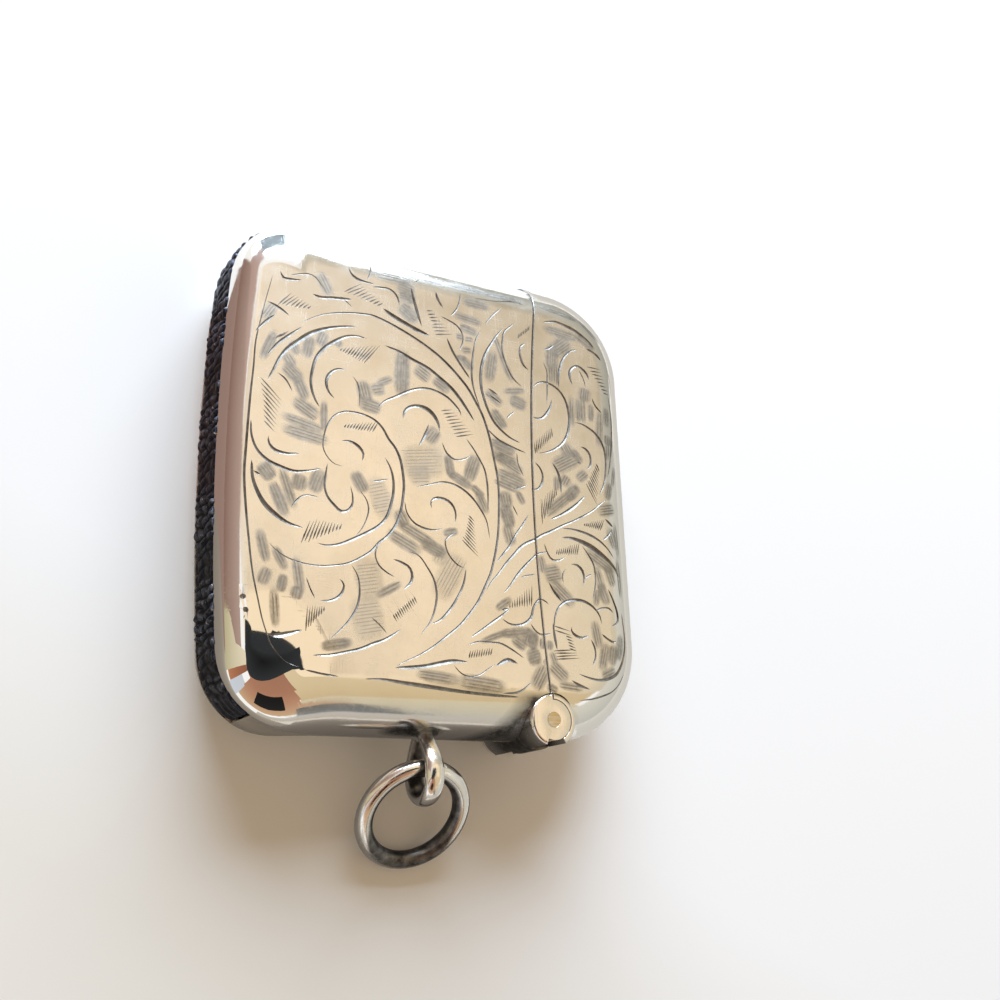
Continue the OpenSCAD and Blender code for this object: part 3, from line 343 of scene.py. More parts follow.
LID_HIGH = np.array(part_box("lid_front")[1]) / MM
BODY_LOW = np.array(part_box("body_front")[0]) / MM
STRIP_LOW, STRIP_HIGH = (np.array(c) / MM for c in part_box("striker"))
PLATE_HIGH = np.array(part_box("base_plate")[1]) / MM
KNUCKLE_LOW, KNUCKLE_HIGH = (np.array(c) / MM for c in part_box("front_knuckle"))
LOOP_LOW, LOOP_HIGH = (np.array(c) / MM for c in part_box("suspension_loop"))
JOINTS = {j["name"]: j for j in frame["joints"]}


class VestaSizes(bpy.types.PropertyGroup):
    """Sizes of the dressed pieces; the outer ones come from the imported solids."""
    half_width: length("Half width", "Half of the case across the hinge side", LID_HIGH[1])
    lid_end: length("Lid end", "Place of the lid's end", LID_HIGH[0])
    base_end: length("Base end", "Place of the middle of the base", BODY_LOW[0])
    thickness: length("Thickness", "Case from back to front", LID_HIGH[2])
    wall: length("Wall", "Thickness of the silver sheet", 0.5)
    side_round: length("Side rounding", "Rounding of the sides and lid", 4.1)
    base_round: length("Base rounding", "Rounding of the edge above the striker", 2.0)
    corner_round: length("Corner rounding", "Rounding over the middle of each corner at the base", 5.8)
    base_corner: length("Base corners", "Plan radius of the corners at the base", 5.9)
    base_bow: length("Base bow", "How far the base bulges in its middle", 0.55)
    lid_corner: length("Lid corners", "Plan radius of the lid's corners", 7.9)
    seam_x: length("Seam", "Place of the seam between body and lid at its middle", 7.5)
    seam_bow: length("Seam bow", "How far the seam bends towards the lid at the sides", 0.8)
    seam_gap: length("Seam gap", "Gap that shows between body and lid", 0.1)
    plate_end: length("Strip recess end", "Where the recess of the striker ends on the corners", PLATE_HIGH[0])
    recess_top: length("Strip recess top", "Upper edge of the striker's recess", PLATE_HIGH[2])
    strip_end: length("Striker end", "Where the striker ends on the corners", STRIP_HIGH[0])
    strip_low: length("Striker low edge", "Lower edge of the striker", STRIP_LOW[2])
    strip_high: length("Striker high edge", "Upper edge of the striker", STRIP_HIGH[2])
    strip_proud: length("Striker proud", "How far the striker's teeth stand out", 0.26)
    tooth_pitch: length("Tooth pitch", "Distance between the striker's teeth", 0.78)
    barrel_radius: length("Barrel", "Radius of the hinge barrel", 2.05)
    ear_wall: length("Ear wall", "Thickness of the lid's ears round the knuckles", 0.43)
    knuckle_gap: length("Knuckle gap", "Play that shows between knuckles and ears", 0.05)
    tab_edge: length("Tab edge", "Rounding of the hinge tab's outer edge", 0.26)
    ear_edge: length("Ear edge", "Rounding of the ears' outer edge", 0.22)
    pin_radius: length("Pin", "Radius of the hinge pin", 0.58)
    lip_radius: length("Lip", "Radius of the thumb lip's crescent", 2.6)
    loop_strap: length("Loop strap", "Thickness of the suspension loop's strap", 1.0)
    ring_radius: length("Ring", "Radius of the ring to the middle of its wire", 3.95)
    ring_wire: length("Ring wire", "Radius of the ring's wire", 0.68)


class VestaColours(bpy.types.PropertyGroup):
    """Colours of the metals and of the studio."""
    silver: colour("Silver", "Worn sterling silver", (0.93, 0.905, 0.86))
    tarnish: colour("Tarnish", "Tarnish in the cuts", (0.035, 0.029, 0.025))
    # colour of black tarnish, and of painted shade between the hinge's knuckles, on the inner sides of the loop and
    # ring, and on the hinge side by the barrel
    grime_and_shade: colour("Grime", "Black tarnish where fittings don't rub", (0.03, 0.028, 0.03))
    bloom: colour("Bloom", "Thin yellow-grey tarnish on the surface", (0.74, 0.67, 0.55))
    gilt: colour("Gilt", "Gilding of the mouth", (0.86, 0.62, 0.27))
    strip: colour("Striker", "Blackened striker", (0.02, 0.022, 0.034))
    # bare metal of the worn tips, with a bluish painted highlight
    strip_tip: colour("Striker tips", "Metal worn bare on the striker", (0.26, 0.3, 0.4))
    pin: colour("Pin", "Brassy hinge pin", (0.66, 0.5, 0.24))
    spring: colour("Spring steel", "Steel of the leaf spring", (0.42, 0.42, 0.43))
    floor: colour("Floor", "Pale table", (0.93, 0.925, 0.92))


def sizes():
    """The scene's sizes in millimetres by name, with the values that follow from them.

    The base rises by base_bow between the middles of its two corners and runs into them smoothly.
    The seam bends by seam_bow from its middle to where the side's rounding starts."""
    group = bpy.context.scene.vesta_sizes
    s = SimpleNamespace(**{n: round(getattr(group, n) / MM, 5) for n in VestaSizes.__annotations__})
    s.hinge_x, s.hinge_y = (np.array(JOINTS["lid_hinge"]["pos_m"]) / MM)[:2]
    s.middle = s.thickness / 2
    s.lid_cx, s.lid_cy = s.lid_end - s.lid_corner, s.half_width - s.lid_corner
    s.base_cy = s.half_width - s.base_corner
    s.bow_radius = arc_radius(s.base_cy, s.base_bow) + s.base_corner
    s.bow_x = s.base_end + s.bow_radius
    s.base_cx = s.bow_x - math.sqrt((s.bow_radius - s.base_corner) ** 2 - s.base_cy ** 2)
    s.bow_angle = math.atan2(s.base_cy, s.bow_x - s.base_cx)
    s.seam_radius = arc_radius(s.half_width - s.side_round, s.seam_bow)
    return s


def arc_radius(half_chord, rise):
    """Radius of an arc from half its chord and its rise: the sum of their squares over twice the rise."""
    return (half_chord ** 2 + rise ** 2) / (2 * rise)


def smooth(t):
    """Smoothstep from 0 to 1."""
    t = np.clip(t, 0, 1)
    return t * t * (3 - 2 * t)


def seam_at(s, y):
    """Edge of the lid at y: an arc bent towards the lid at the sides."""
    return s.seam_x + s.seam_radius - np.sqrt(s.seam_radius ** 2 - np.asarray(y, float) ** 2)


def edge_inset(s, x, y):
    """Distance inside the plan outline, outward direction in plan, and the roll's width and depth there.

    The outline is two straight sides, the lid's end with round corners, and the bowed base with round corners.
    The roll is a quarter ellipse: its width grows round each base corner, its depth along the sides from the
    striker."""
    side = np.where(y < 0, -1.0, 1.0)
    w = np.abs(y)
    bow = np.hypot(x - s.bow_x, w)
    to_side, to_end, to_bow = s.half_width - w, s.lid_end - x, s.bow_radius - bow
    zero, one = np.zeros_like(x), np.ones_like(x)
    d = np.minimum(np.minimum(to_side, to_end), to_bow)
    nx = np.select([to_side == d, to_end == d], [zero, one], (x - s.bow_x) / bow)
    ny = np.select([to_side == d, to_end == d], [side, zero], y / bow)
    a = np.where(to_bow == d, s.base_round, s.side_round)
    for cx, cy, r, inside in (
            (s.lid_cx, s.lid_cy, s.lid_corner, (x > s.lid_cx) & (w > s.lid_cy)),
            (s.base_cx, s.base_cy, s.base_corner,
             (x < s.base_cx) & (w * (s.bow_x - s.base_cx) > s.base_cy * (s.bow_x - x)))):
        rho = np.hypot(x - cx, w - cy) + 1e-9
        d = np.where(inside, r - rho, d)
        nx = np.where(inside, (x - cx) / rho, nx)
        ny = np.where(inside, side * (w - cy) / rho, ny)
        if cx == s.base_cx:
            angle = np.arctan2(w - cy, cx - x)
            wide = s.base_round + (s.corner_round - s.base_round) * smooth((angle - s.bow_angle) / (math.pi / 4))
            wide = wide + (s.side_round - s.corner_round) * smooth((angle - math.pi / 4) / (math.pi / 4))
            a = np.where(inside, wide, a)
    b = s.base_round + (s.side_round - s.base_round) * smooth((x - s.plate_end) / ROLL_GROWS)
    return d, nx, ny, a, b


def roll_height(s, x, y, inset=0.0):
    """Height of the rolled form and its normal: z falls from the flat top along a quarter ellipse at the edge.

    inset gives the same form for the inside of a wall of that thickness."""
    d, nx, ny, a, b = edge_inset(s, x, y)
    d, a, b = d - inset, a - inset, b - inset
    u = np.clip((a - d) / a, 0, 1)
    v = np.sqrt(1 - u * u)
    normal = np.stack([nx * u / a, ny * u / a, v / b], 1)
    normal /= np.linalg.norm(normal, axis=1, keepdims=True)
    return s.thickness - inset - b * (1 - v), normal, u


def arc(cx, cy, r, first, last, count):
    """Points on an arc between two angles in radians."""
    t = np.linspace(first, last, count)
    return np.stack([cx + r * np.cos(t), cy + r * np.sin(t)], 1)


def run(first, last, count):
    """Points on a straight line."""
    return np.linspace(first, last, count)


def base_outline(s, count_corner=18, count_bow=36):
    """Outline of the base from the far side's corner to the hinge side's, with two close points at the recess's end."""
    cut = math.acos((s.base_cx - s.plate_end) / s.base_corner)
    t = np.concatenate([np.linspace(s.bow_angle, math.pi / 2, count_corner), [cut - 4e-4, cut + 4e-4]])
    t = np.sort(t)[::-1]
    far = np.stack([s.base_cx - s.base_corner * np.cos(t), s.base_cy + s.base_corner * np.sin(t)], 1)
    bow = arc(s.bow_x, 0, s.bow_radius, math.pi - s.bow_angle, math.pi + s.bow_angle, count_bow)
    return np.concatenate([far, bow[1:-1], far[::-1] * [1, -1]])


def panel_loop(s, part):
    """Plan outline of one half shell, anticlockwise, and the part of it that is rolled over.

    The body goes round its far side, base and hinge side to the barrel's notch and back along the seam;
    the lid goes from the notch round its end to the far side and back along the seam."""
    play = 0.02
    notch = s.barrel_radius + play
    gap = s.seam_gap if part == "body" else 0
    y = np.linspace(-s.half_width, 0, 4001)
    x = seam_at(s, y) - gap
    meet = y[np.argmax(np.hypot(x - s.hinge_x, y - s.hinge_y) * (y > s.hinge_y) > notch)]
    meet_x = float(seam_at(s, meet) - gap)
    reach = math.sqrt(notch ** 2 - (s.half_width + s.hinge_y) ** 2)
    at_seam = math.atan2(meet - s.hinge_y, meet_x - s.hinge_x)
    drop = -s.half_width - s.hinge_y
    seam_y = np.linspace(meet, s.half_width, 60)
    seam = np.stack([seam_at(s, seam_y) - gap, seam_y], 1)
    if part == "body":
        rolled = np.concatenate([
            run([seam[-1, 0], s.half_width], [s.base_cx, s.half_width], 36)[:-1],
            base_outline(s),
            run([s.base_cx, -s.half_width], [s.hinge_x - reach, -s.half_width], 34)[1:]])
        at_side = math.atan2(drop, -reach) % TURN
        notch_arc = arc(s.hinge_x, s.hinge_y, notch, at_side, at_seam, 22)
        return np.concatenate([rolled, notch_arc[1:], seam[1:-1]]), rolled
    end_y = np.linspace(-s.lid_cy, s.lid_cy, 24)
    rolled = np.concatenate([
        run([s.hinge_x + reach, -s.half_width], [s.lid_cx, -s.half_width], 3)[:-1],
        arc(s.lid_cx, -s.lid_cy, s.lid_corner, -math.pi / 2, 0, 24),
        np.stack([np.full(24, s.lid_end), end_y], 1)[1:-1],
        arc(s.lid_cx, s.lid_cy, s.lid_corner, 0, math.pi / 2, 24),
        run([s.lid_cx, s.half_width], [seam[-1, 0], s.half_width], 4)[1:]])
    at_side = math.atan2(drop, reach)
    notch_arc = arc(s.hinge_x, s.hinge_y, notch, at_seam, at_side, 22)
    return np.concatenate([rolled, seam[::-1][1:], notch_arc[1:-1]]), rolled


def flow(points, spacing=0.33):
    """A smooth curve through points: cubic pieces whose slopes come from the neighbouring points, evenly resampled."""
    p = np.asarray(points, float).reshape(-1, 2)
    if len(p) == 2:
        p = np.stack([p[0], p.mean(0), p[1]])
    u = np.concatenate([[0], np.cumsum(np.linalg.norm(np.diff(p, axis=0), axis=1))])
    m = np.gradient(p, u, axis=0)
    t = np.linspace(0, u[-1], max(4, int(u[-1] / spacing) + 2))
    i = np.clip(np.searchsorted(u, t, side="right") - 1, 0, len(u) - 2)
    h = (u[i + 1] - u[i])[:, None]
    f = ((t - u[i])[:, None]) / h
    return ((2 * f ** 3 - 3 * f ** 2 + 1) * p[i] + (f ** 3 - 2 * f ** 2 + f) * h * m[i]
            + (3 * f ** 2 - 2 * f ** 3) * p[i + 1] + (f ** 3 - f ** 2) * h * m[i + 1])


def line_cut(centre, long, angle, shape):
    """A straight cut about a centre: (place along the line, half width) pairs give its swelling and tapering."""
    t = np.array(shape)
    along = np.array([math.cos(angle), math.sin(angle)])
    return np.asarray(centre) + np.outer((t[:, 0] - 0.5) * long, along), t[:, 1]


def dab_ring(x, y, long, wide, turn, scale):
    """Twelve points round a dab of ground, on a rounded oblong of a scaled length and width, turned to its angle."""
    u, v = superellipse(long * scale, wide * scale, 3.0, 12).T
    return np.stack([x + u * math.cos(turn) - v * math.sin(turn), y + u * math.sin(turn) + v * math.cos(turn)], 1)


def dab_grey(dabs, points):
    """Grey of the ground at points: each dab fades from its middle to its edge, and dabs over one another add up."""
    clear = np.ones(len(points))
    for x, y, long, wide, turn, grey in dabs:
        dx, dy = points[:, 0] - x, points[:, 1] - y
        near = np.nonzero(dx * dx + dy * dy < (long + wide) ** 2)[0]
        u = dx[near] * math.cos(turn) + dy[near] * math.sin(turn)
        v = dy[near] * math.cos(turn) - dx[near] * math.sin(turn)
        out = (np.abs(2 * u / long) ** 3 + np.abs(2 * v / wide) ** 3) ** (1 / 3)
        clear[near] *= 1 - grey * smooth((DAB_EDGE - out) / DAB_SOFT)
    return np.minimum(1 - clear, DAB_DARKEST)


def engraving():
    """Every cut as path, half widths, flank slope and tone, and every dab as x, y, length, width, turn and grey.

    Long cuts swell and taper, ticks and hatch lines are straight."""
    rng = np.random.default_rng(7)
    cuts, dabs = [], []
    for width, points in CUTS:
        path = flow(points)
        t = np.linspace(0, 1, len(path))
        swell = np.sin(math.pi * t) ** 0.42 * (1 + 0.12 * np.sin(9 * t + path[0, 0]))
        cuts.append((path, 0.58 * width * swell, 0.5, "cut"))
    for width, points in PITS:
        path = flow(points, 0.1)
        cuts.append((path, width / 2 * np.sin(np.linspace(0, math.pi, len(path))) ** 0.5 + 0.01, 0.35, "pit"))
    for x0, y0, x1, y1, count, angle, first, last in TICKS:
        for f in np.linspace(0, 1, count):
            centre = (x0 + (x1 - x0) * f, y0 + (y1 - y0) * f)
            long = (first + (last - first) * f) * rng.uniform(1.1, 1.35)
            turn = math.radians(angle + rng.uniform(-3, 3))
            cuts.append((*line_cut(centre, long, turn, [(0, 0.02), (0.3, 0.068), (1, 0.01)]), 0.1, "tick"))
    for blocks, pitch, half, tone in ((GROUND, 0.24, 0.07, "ground"), (HATCH, 0.26, 0.05, "hatch")):
        for x, y, long, wide, angle in blocks:
            turn = math.radians(angle)
            grey = rng.uniform(*DAB_GREYS[tone]) * (LID_GREY if x > LID_FROM else 1)
            dabs.append((x, y, long * DAB_LONG, wide * DAB_WIDE, turn, grey))
            count = max(2, int(round(wide / pitch)))
            for k in range(count):
                off = (k - (count - 1) / 2) * pitch + rng.uniform(-0.03, 0.03)
                slide = rng.uniform(-0.1, 0.1) * long
                centre = (x - math.sin(turn) * off + math.cos(turn) * slide,
                          y + math.cos(turn) * off + math.sin(turn) * slide)
                shape = [(0, 0.01), (0.2, half), (0.8, half), (1, 0.01)]
                cuts.append((*line_cut(centre, long * rng.uniform(0.8, 1.1), turn, shape), 0.07, tone))
    return cuts, dabs


def cut_depth(cuts, points):
    """Depth and tone of the engraving at points.

    Each flank falls from a cut's edge to its middle line, and the deepest wins."""
    depth, tone = np.zeros(len(points)), np.zeros(len(points))
    for path, half, slope, kind in cuts:
        reach = half.max()
        low, high = path.min(0) - reach, path.max(0) + reach
        near = np.nonzero(((points >= low) & (points <= high)).all(1))[0]
        if not len(near):
            continue
        a, b = path[:-1], path[1:]
        ab = b - a
        t = np.clip(((points[near][:, None] - a) * ab).sum(2) / (ab ** 2).sum(1), 0, 1)
        away = np.linalg.norm(points[near][:, None] - (a + t[..., None] * ab), axis=2)
        fall = ((half[:-1] + (half[1:] - half[:-1]) * t - away) * slope).max(1)
        deep = fall > CUT_FROM
        hit = near[deep]
        depth[hit] = np.maximum(depth[hit], fall[deep])
        tone[hit] = np.maximum(tone[hit], TONES[kind])
    return depth, tone


def inside(points, loop):
    """Which points lie inside a closed plan outline, by counting the edges crossed to the right."""
    odd = np.zeros(len(points), bool)
    x, y = points.T
    for (x0, y0), (x1, y1) in zip(loop, np.roll(loop, -1, 0)):
        if y0 != y1:
            odd ^= ((y0 > y) != (y1 > y)) & (x < (x1 - x0) * (y - y0) / (y1 - y0) + x0)
    return odd


def triangulate(loops, lines, keep, epsilon=4e-3):
    """Plan triangles that keep every edge of closed loops and open lines; keep() chooses them by their centres.

    Returns plan points, anticlockwise triangles, and for each point the first input point it came from."""
    verts, edges = [], []
    for points, closed in [(p, True) for p in loops] + [(p, False) for p in lines]:
        n, first = len(points), len(verts)
        verts.extend(map(tuple, points))
        edges.extend((first + i, first + (i + 1) % n) for i in range(n if closed else n - 1))
    out, _, faces, origin = delaunay_2d_cdt(verts, edges, [], 0, epsilon, True)[:4]
    points, tris = np.array(out, float), np.array(faces, int)
    tris = tris[keep(points[tris].mean(1))]
    used, again = np.unique(tris, return_inverse=True)
    source = np.array([min(o) if o else -1 for o in origin], int)
    return points[used], again.reshape(-1, 3), source[used]


def rim_edges(tris):
    """Edges that only one triangle has, in that triangle's direction."""
    edges = np.concatenate([tris[:, [0, 1]], tris[:, [1, 2]], tris[:, [2, 0]]])
    key = np.sort(edges, 1)
    _, index, count = np.unique(key, axis=0, return_index=True, return_counts=True)
    return edges[index[count == 1]]


def put(name, body, points, faces, slot, replaced, normals=None, attributes=()):
    """Makes a mesh object from millimetre points with its slot's finish, riding on a body in the place of its nodes."""
    mesh = bpy.data.meshes.new(name)
    mesh.from_pydata((np.asarray(points) * MM).tolist(), [], [list(f) for f in faces])
    for label, domain, values in attributes:
        mesh.attributes.new(label, "FLOAT", domain).data.foreach_set("value", np.asarray(values, np.float32))
    mesh.polygons.foreach_set("use_smooth", np.ones(len(mesh.polygons), bool))
    mesh.update()
    if normals is not None:
        mesh.normals_split_custom_set(normals)
    if mesh.validate():
        raise RuntimeError(f"{name} has faces that don't hold together")
    mesh.materials.append(finish(slot))
    piece = bpy.data.objects.new(name, mesh)
    bpy.context.scene.collection.objects.link(piece)
    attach(piece, body)
    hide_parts(*replaced)
    return piece


def sharpen(piece, degrees=32):
    """Keeps edges sharper than an angle crisp and shades the rest smoothly."""
    piece.data.set_sharp_from_angle(angle=math.radians(degrees))


def grid_quads(rows, count, closed=True):
    """Quads between neighbouring rows of count points each; closed rows join their last point to their first."""
    i = np.arange(rows - 1)[:, None] * count
    k = np.arange(count if closed else count - 1)[None]
    ahead = (k + 1) % count
    return np.stack([i + k, i + count + k, i + count + ahead, i + ahead], -1).reshape(-1, 4)


def skin(rows):
    """Points and faces of a skin over closed rows of points, with a cap on each end."""
    n, m = rows.shape[:2]
    caps = [list(range(m)), list(range((n - 1) * m, n * m))[::-1]]
    return rows.reshape(-1, 3), grid_quads(n, m).tolist() + caps


def sweep(path, across, up, section, closed):
    """A closed section carried along a path: each station adds section u times across and v times up.

    Returns points and quads, with end caps where the path is open."""
    n, m = len(path), len(section)
    points = path[:, None] + section[None, :, :1] * across[:, None] + section[None, :, 1:] * up[:, None]
    i = np.arange(n if closed else n - 1)[:, None] * m
    k = np.arange(m)[None]
    nxt = (i + m) % (n * m)
    quads = np.stack([i + k, i + (k + 1) % m, nxt + (k + 1) % m, nxt + k], -1).reshape(-1, 4).tolist()
    if not closed:
        quads += [list(range(m))[::-1], list(range((n - 1) * m, n * m))]
    return points.reshape(-1, 3), quads


def superellipse(width, height, power, count):
    """A rounded section: |u/a|^p + |v/b|^p = 1, anticlockwise."""
    t = np.linspace(0, TURN, count, endpoint=False)
    return np.stack([size / 2 * np.sign(c) * np.abs(c) ** (2 / power)
                     for size, c in ((width, np.cos(t)), (height, np.sin(t)))], 1)


def inset_loop(loop, by):
    """A closed plan loop moved inwards along the mean of its two edge normals at each point."""
    ahead = np.roll(loop, -1, 0) - loop
    ahead /= np.linalg.norm(ahead, axis=1, keepdims=True)
    left = np.stack([-ahead[:, 1], ahead[:, 0]], 1)
    mean = left + np.roll(left, 1, 0)
    return loop + by * 2 * mean / np.maximum((mean ** 2).sum(1, keepdims=True), 1.0)


def prism(loop, low, high, bevel, hole=None, steps=6, bevel_low=None):
    """A plate between two heights whose edges are rounded by quarter circles, with a round hole if one is given.

    bevel is one radius or one for each point of the outline, bevel_low the same for the lower end where it differs.
    Rows of the outline follow the rounding, and the two flat ends are triangulated between outline and hole."""
    turns = np.linspace(0, math.pi / 2, steps)
    rows = [(1 - math.cos(a), high, -(1 - math.sin(a))) for a in turns[::-1]]
    rows += [(1 - math.cos(a), low, 1 - math.sin(a)) for a in turns]
    edges = [(loop, bevel, bevel if bevel_low is None else bevel_low, 1)]
    if hole is not None:
        edges.append((hole, FINE_EDGE, FINE_EDGE, -1))
    count, rings, faces, start = len(rows), [], [], 0
    for edge, upper, lower, turn in edges:
        n = len(edge)
        for row, (inwards, z, down) in enumerate(rows):
            radius = np.broadcast_to(upper if row < steps else lower, n)
            rings.append(np.column_stack([inset_loop(edge, turn * inwards * radius[:, None]), z + down * radius]))
        quads = grid_quads(count, n) + start
        faces += (quads if turn > 0 else quads[:, ::-1]).tolist()
        start += count * n
    points = np.concatenate(rings)
    n = len(loop)
    for row, flip in ((0, False), (count - 1, True)):
        ids = [np.arange(row * n, (row + 1) * n)]
        if hole is not None:
            first = count * n + row * len(hole)
            ids.append(np.arange(first, first + len(hole)))
        loops = [points[i, :2] for i in ids]
        _, tris, source = triangulate(loops, [], lambda c: within_loops(c, loops), 1e-5)
        tris = np.concatenate(ids)[source[tris]]
        faces += (tris[:, ::-1] if flip else tris).tolist()
    return points, faces


def within_loops(points, loops):
    """Which points lie inside the first plan loop and outside any others."""
    return inside(points, loops[0]) & ~np.any([inside(points, p) for p in loops[1:]], axis=0)


def flat_normal(corners):
    """Normal of a flat face from its corners, by Newell's sum about the first; faces may be stacked in an array."""
    corners = corners - corners[..., :1, :]
    n = np.cross(corners, np.roll(corners, -1, -2)).sum(-2)
    return n / np.maximum(np.linalg.norm(n, axis=-1, keepdims=True), 1e-12)


class Wire:
    """A shader socket whose arithmetic adds Math nodes."""

    def __init__(self, tree, socket):
        self.tree, self.socket = tree, socket

    def math(self, operation, *values):
        """One Math node on values or wires, in their order."""
        return node(self.tree, "ShaderNodeMath", {"operation": operation}, dict(enumerate(values)))

    def __add__(self, other): return self.math("ADD", self, other)
    def __radd__(self, other): return self.math("ADD", self, other)
    def __sub__(self, other): return self.math("SUBTRACT", self, other)
    def __rsub__(self, other): return self.math("SUBTRACT", other, self)
    def __mul__(self, other): return self.math("MULTIPLY", self, other)
    def __rmul__(self, other): return self.math("MULTIPLY", self, other)
    def __pow__(self, other): return self.math("POWER", self, other)
    def __abs__(self): return self.math("ABSOLUTE", self)
    def above(self, other): return self.math("MAXIMUM", self, other)


def node(tree, kind, settings=None, sockets=None, out=0):
    """Adds one node, its settings first and then the values or links of its sockets, and gives one of its outputs."""
    made = tree.nodes.new(kind)
    for name, value in (settings or {}).items():
        setattr(made, name, value)
    for name, value in (sockets or {}).items():
        socket = made.inputs[name]
        if isinstance(value, Wire):
            tree.links.new(value.socket, socket)
        elif socket.type == "RGBA":
            socket.default_value = (*value[:3], 1)
        else:
            socket.default_value = value
    return Wire(tree, made.outputs[out]) if len(made.outputs) else None


class Finish:
    """A metal finish: a Principled shader with a few pattern shortcuts on Object coordinates in metres."""

    def __init__(self, name):
        self.material = bpy.data.materials.new(name)
        self.material.use_nodes = True
        self.tree = self.material.node_tree
        self.tree.nodes.clear()
        self.place = self.add("ShaderNodeTexCoord", out="Object")

    def add(self, kind, settings=None, sockets=None, out=0):
        """Adds one node to this finish."""
        return node(self.tree, kind, settings, sockets, out)

    def attribute(self, name):
        """A number that the mesh carries."""
        return self.add("ShaderNodeAttribute", {"attribute_name": name}, out="Fac")

    def along(self, axis):
        """Place along x, y or z in millimetres."""
        return self.add("ShaderNodeSeparateXYZ", sockets={"Vector": self.place}, out=axis) * (1 / MM)

    def noise(self, per_mm, detail=3.0, rough=0.55, stretch=None):
        """Noise of a given fineness, drawn out along the axes whose stretch is below 1."""
        place = self.place
        if stretch:
            place = self.add("ShaderNodeMapping", {"vector_type": "POINT"}, {"Vector": place, "Scale": stretch})
        return self.add("ShaderNodeTexNoise", sockets={
            "Vector": place, "Scale": per_mm / MM, "Detail": detail, "Roughness": rough}, out="Fac")

    def between(self, value, low, high, to_low=0.0, to_high=1.0):
        """A value carried from one range to another and kept inside it."""
        return self.add("ShaderNodeMapRange", {"clamp": True}, {
            "Value": value, "From Min": low, "From Max": high, "To Min": to_low, "To Max": to_high})

    def mix(self, factor, first, second):
        """A colour between two others."""
        return self.add("ShaderNodeMix", {"data_type": "RGBA"}, {0: factor, 6: first, 7: second}, 2)

    def bump(self, height, strength, distance_mm, normal=None):
        """A normal tilted by the slope of a height, over another normal if one is given."""
        sockets = {"Height": height, "Strength": strength, "Distance": distance_mm * MM}
        if normal is not None:
            sockets["Normal"] = normal
        return self.add("ShaderNodeBump", sockets=sockets)

    def shade(self, **sockets):
        """Ends the finish with a Principled shader whose inputs are named with underscores."""
        shader = self.add("ShaderNodeBsdfPrincipled", sockets={k.replace("_", " "): v for k, v in sockets.items()})
        self.add("ShaderNodeOutputMaterial", sockets={"Surface": shader})
        return self.material


def scratches(finish):
    """Fine handling scratches: stretched noise in three directions, kept where it peaks."""
    total = None
    for stretch in ((0.06, 1, 1), (1, 0.07, 1), (0.7, 0.09, 1)):
        line = finish.between(finish.noise(7, 2, 0.6, stretch), 0.6, 0.72)
        total = line if total is None else total.above(line)
    return total


def tarnish_and_shade_by_hinge(finish):
    """Tarnish and painted shade on the hinge side: it deepens towards the barrel and the floor, and lies round the
    loop's foot.
    """
    x, y, z = (finish.along(axis) for axis in "XYZ")
    # height above or below the middle of the case's thickness
    rise = abs(z - 4.2)
    barrel = finish.between((x - 5) * 0.55 + (3.8 - rise) * 0.6 + 0.1, 0, 1, 0, 0.95) * finish.between(x, 8.3, 7.9)
    foot = finish.between(((x + 2.6) * 0.37) ** 2 + ((rise - 1.6) * 0.85) ** 2, 0.3, 1.1, 0.95, 0)
    side = finish.between(y, -16.6, -17.1)
    return barrel.above(foot) * side * finish.between(finish.noise(1.1, 4, 0.65), 0.3, 0.65, 0.7, 1.0)


def engraved_silver():
    """Worn silver: tarnish in the cuts, yellow-grey bloom in patches, polished rolled edges, scratches and dents, with
    tarnish and painted shade on the hinge side.

    polish runs from 0 on the flat to 1 on the rolled edges and 2 on the worn corner, which is a clean mirror."""
    c = bpy.context.scene.vesta_colours
    f = Finish("worn_engraved_silver")
    cut, polish, within = f.attribute("cut"), f.attribute("polish"), f.attribute("within")
    ground = f.attribute("ground") * f.between(f.noise(2.6, 3, 0.6), 0.3, 0.7, 0.7, 1.08)
    dark = cut.above(ground)
    bloom = f.between(f.noise(0.22, 4, 0.6), 0.42, 0.7, 0, 0.35) * f.between(polish, 0, 1, 1, 0.4)
    mirror = f.between(polish, 1, 2, 1, 0)
    lines = scratches(f) * mirror
    # noise that varies the tarnish in the cuts
    grime_and_shade = f.between(f.noise(1.6, 4, 0.65), 0.35, 0.7, 0.75, 1.0)
    tarnish_and_shade = tarnish_and_shade_by_hinge(f)
    base = f.mix(bloom, c.silver, c.bloom)
    base = f.mix(dark * grime_and_shade, base, c.tarnish)
    # tarnish and painted shade on the hinge side, by the barrel and round the loop's foot
    base = f.mix(tarnish_and_shade, base, c.grime_and_shade)
    base = f.mix(within * 0.7, base, c.bloom)
    rough = (0.2 + f.between(f.noise(0.5, 3), 0.3, 0.7, 0, 0.06) - polish * 0.13).above(0.015)
    rough = rough + lines * 0.05 + dark * 0.2 + within * 0.2 + tarnish_and_shade * 0.2
    dents = f.bump((f.noise(0.16, 2, 0.4) - 0.5) * mirror, 0.12, 0.35)
    normal = f.bump(lines, 0.08, 0.01, dents)
    return f.shade(Base_Color=base, Metallic=1.0, Roughness=rough, Normal=normal)


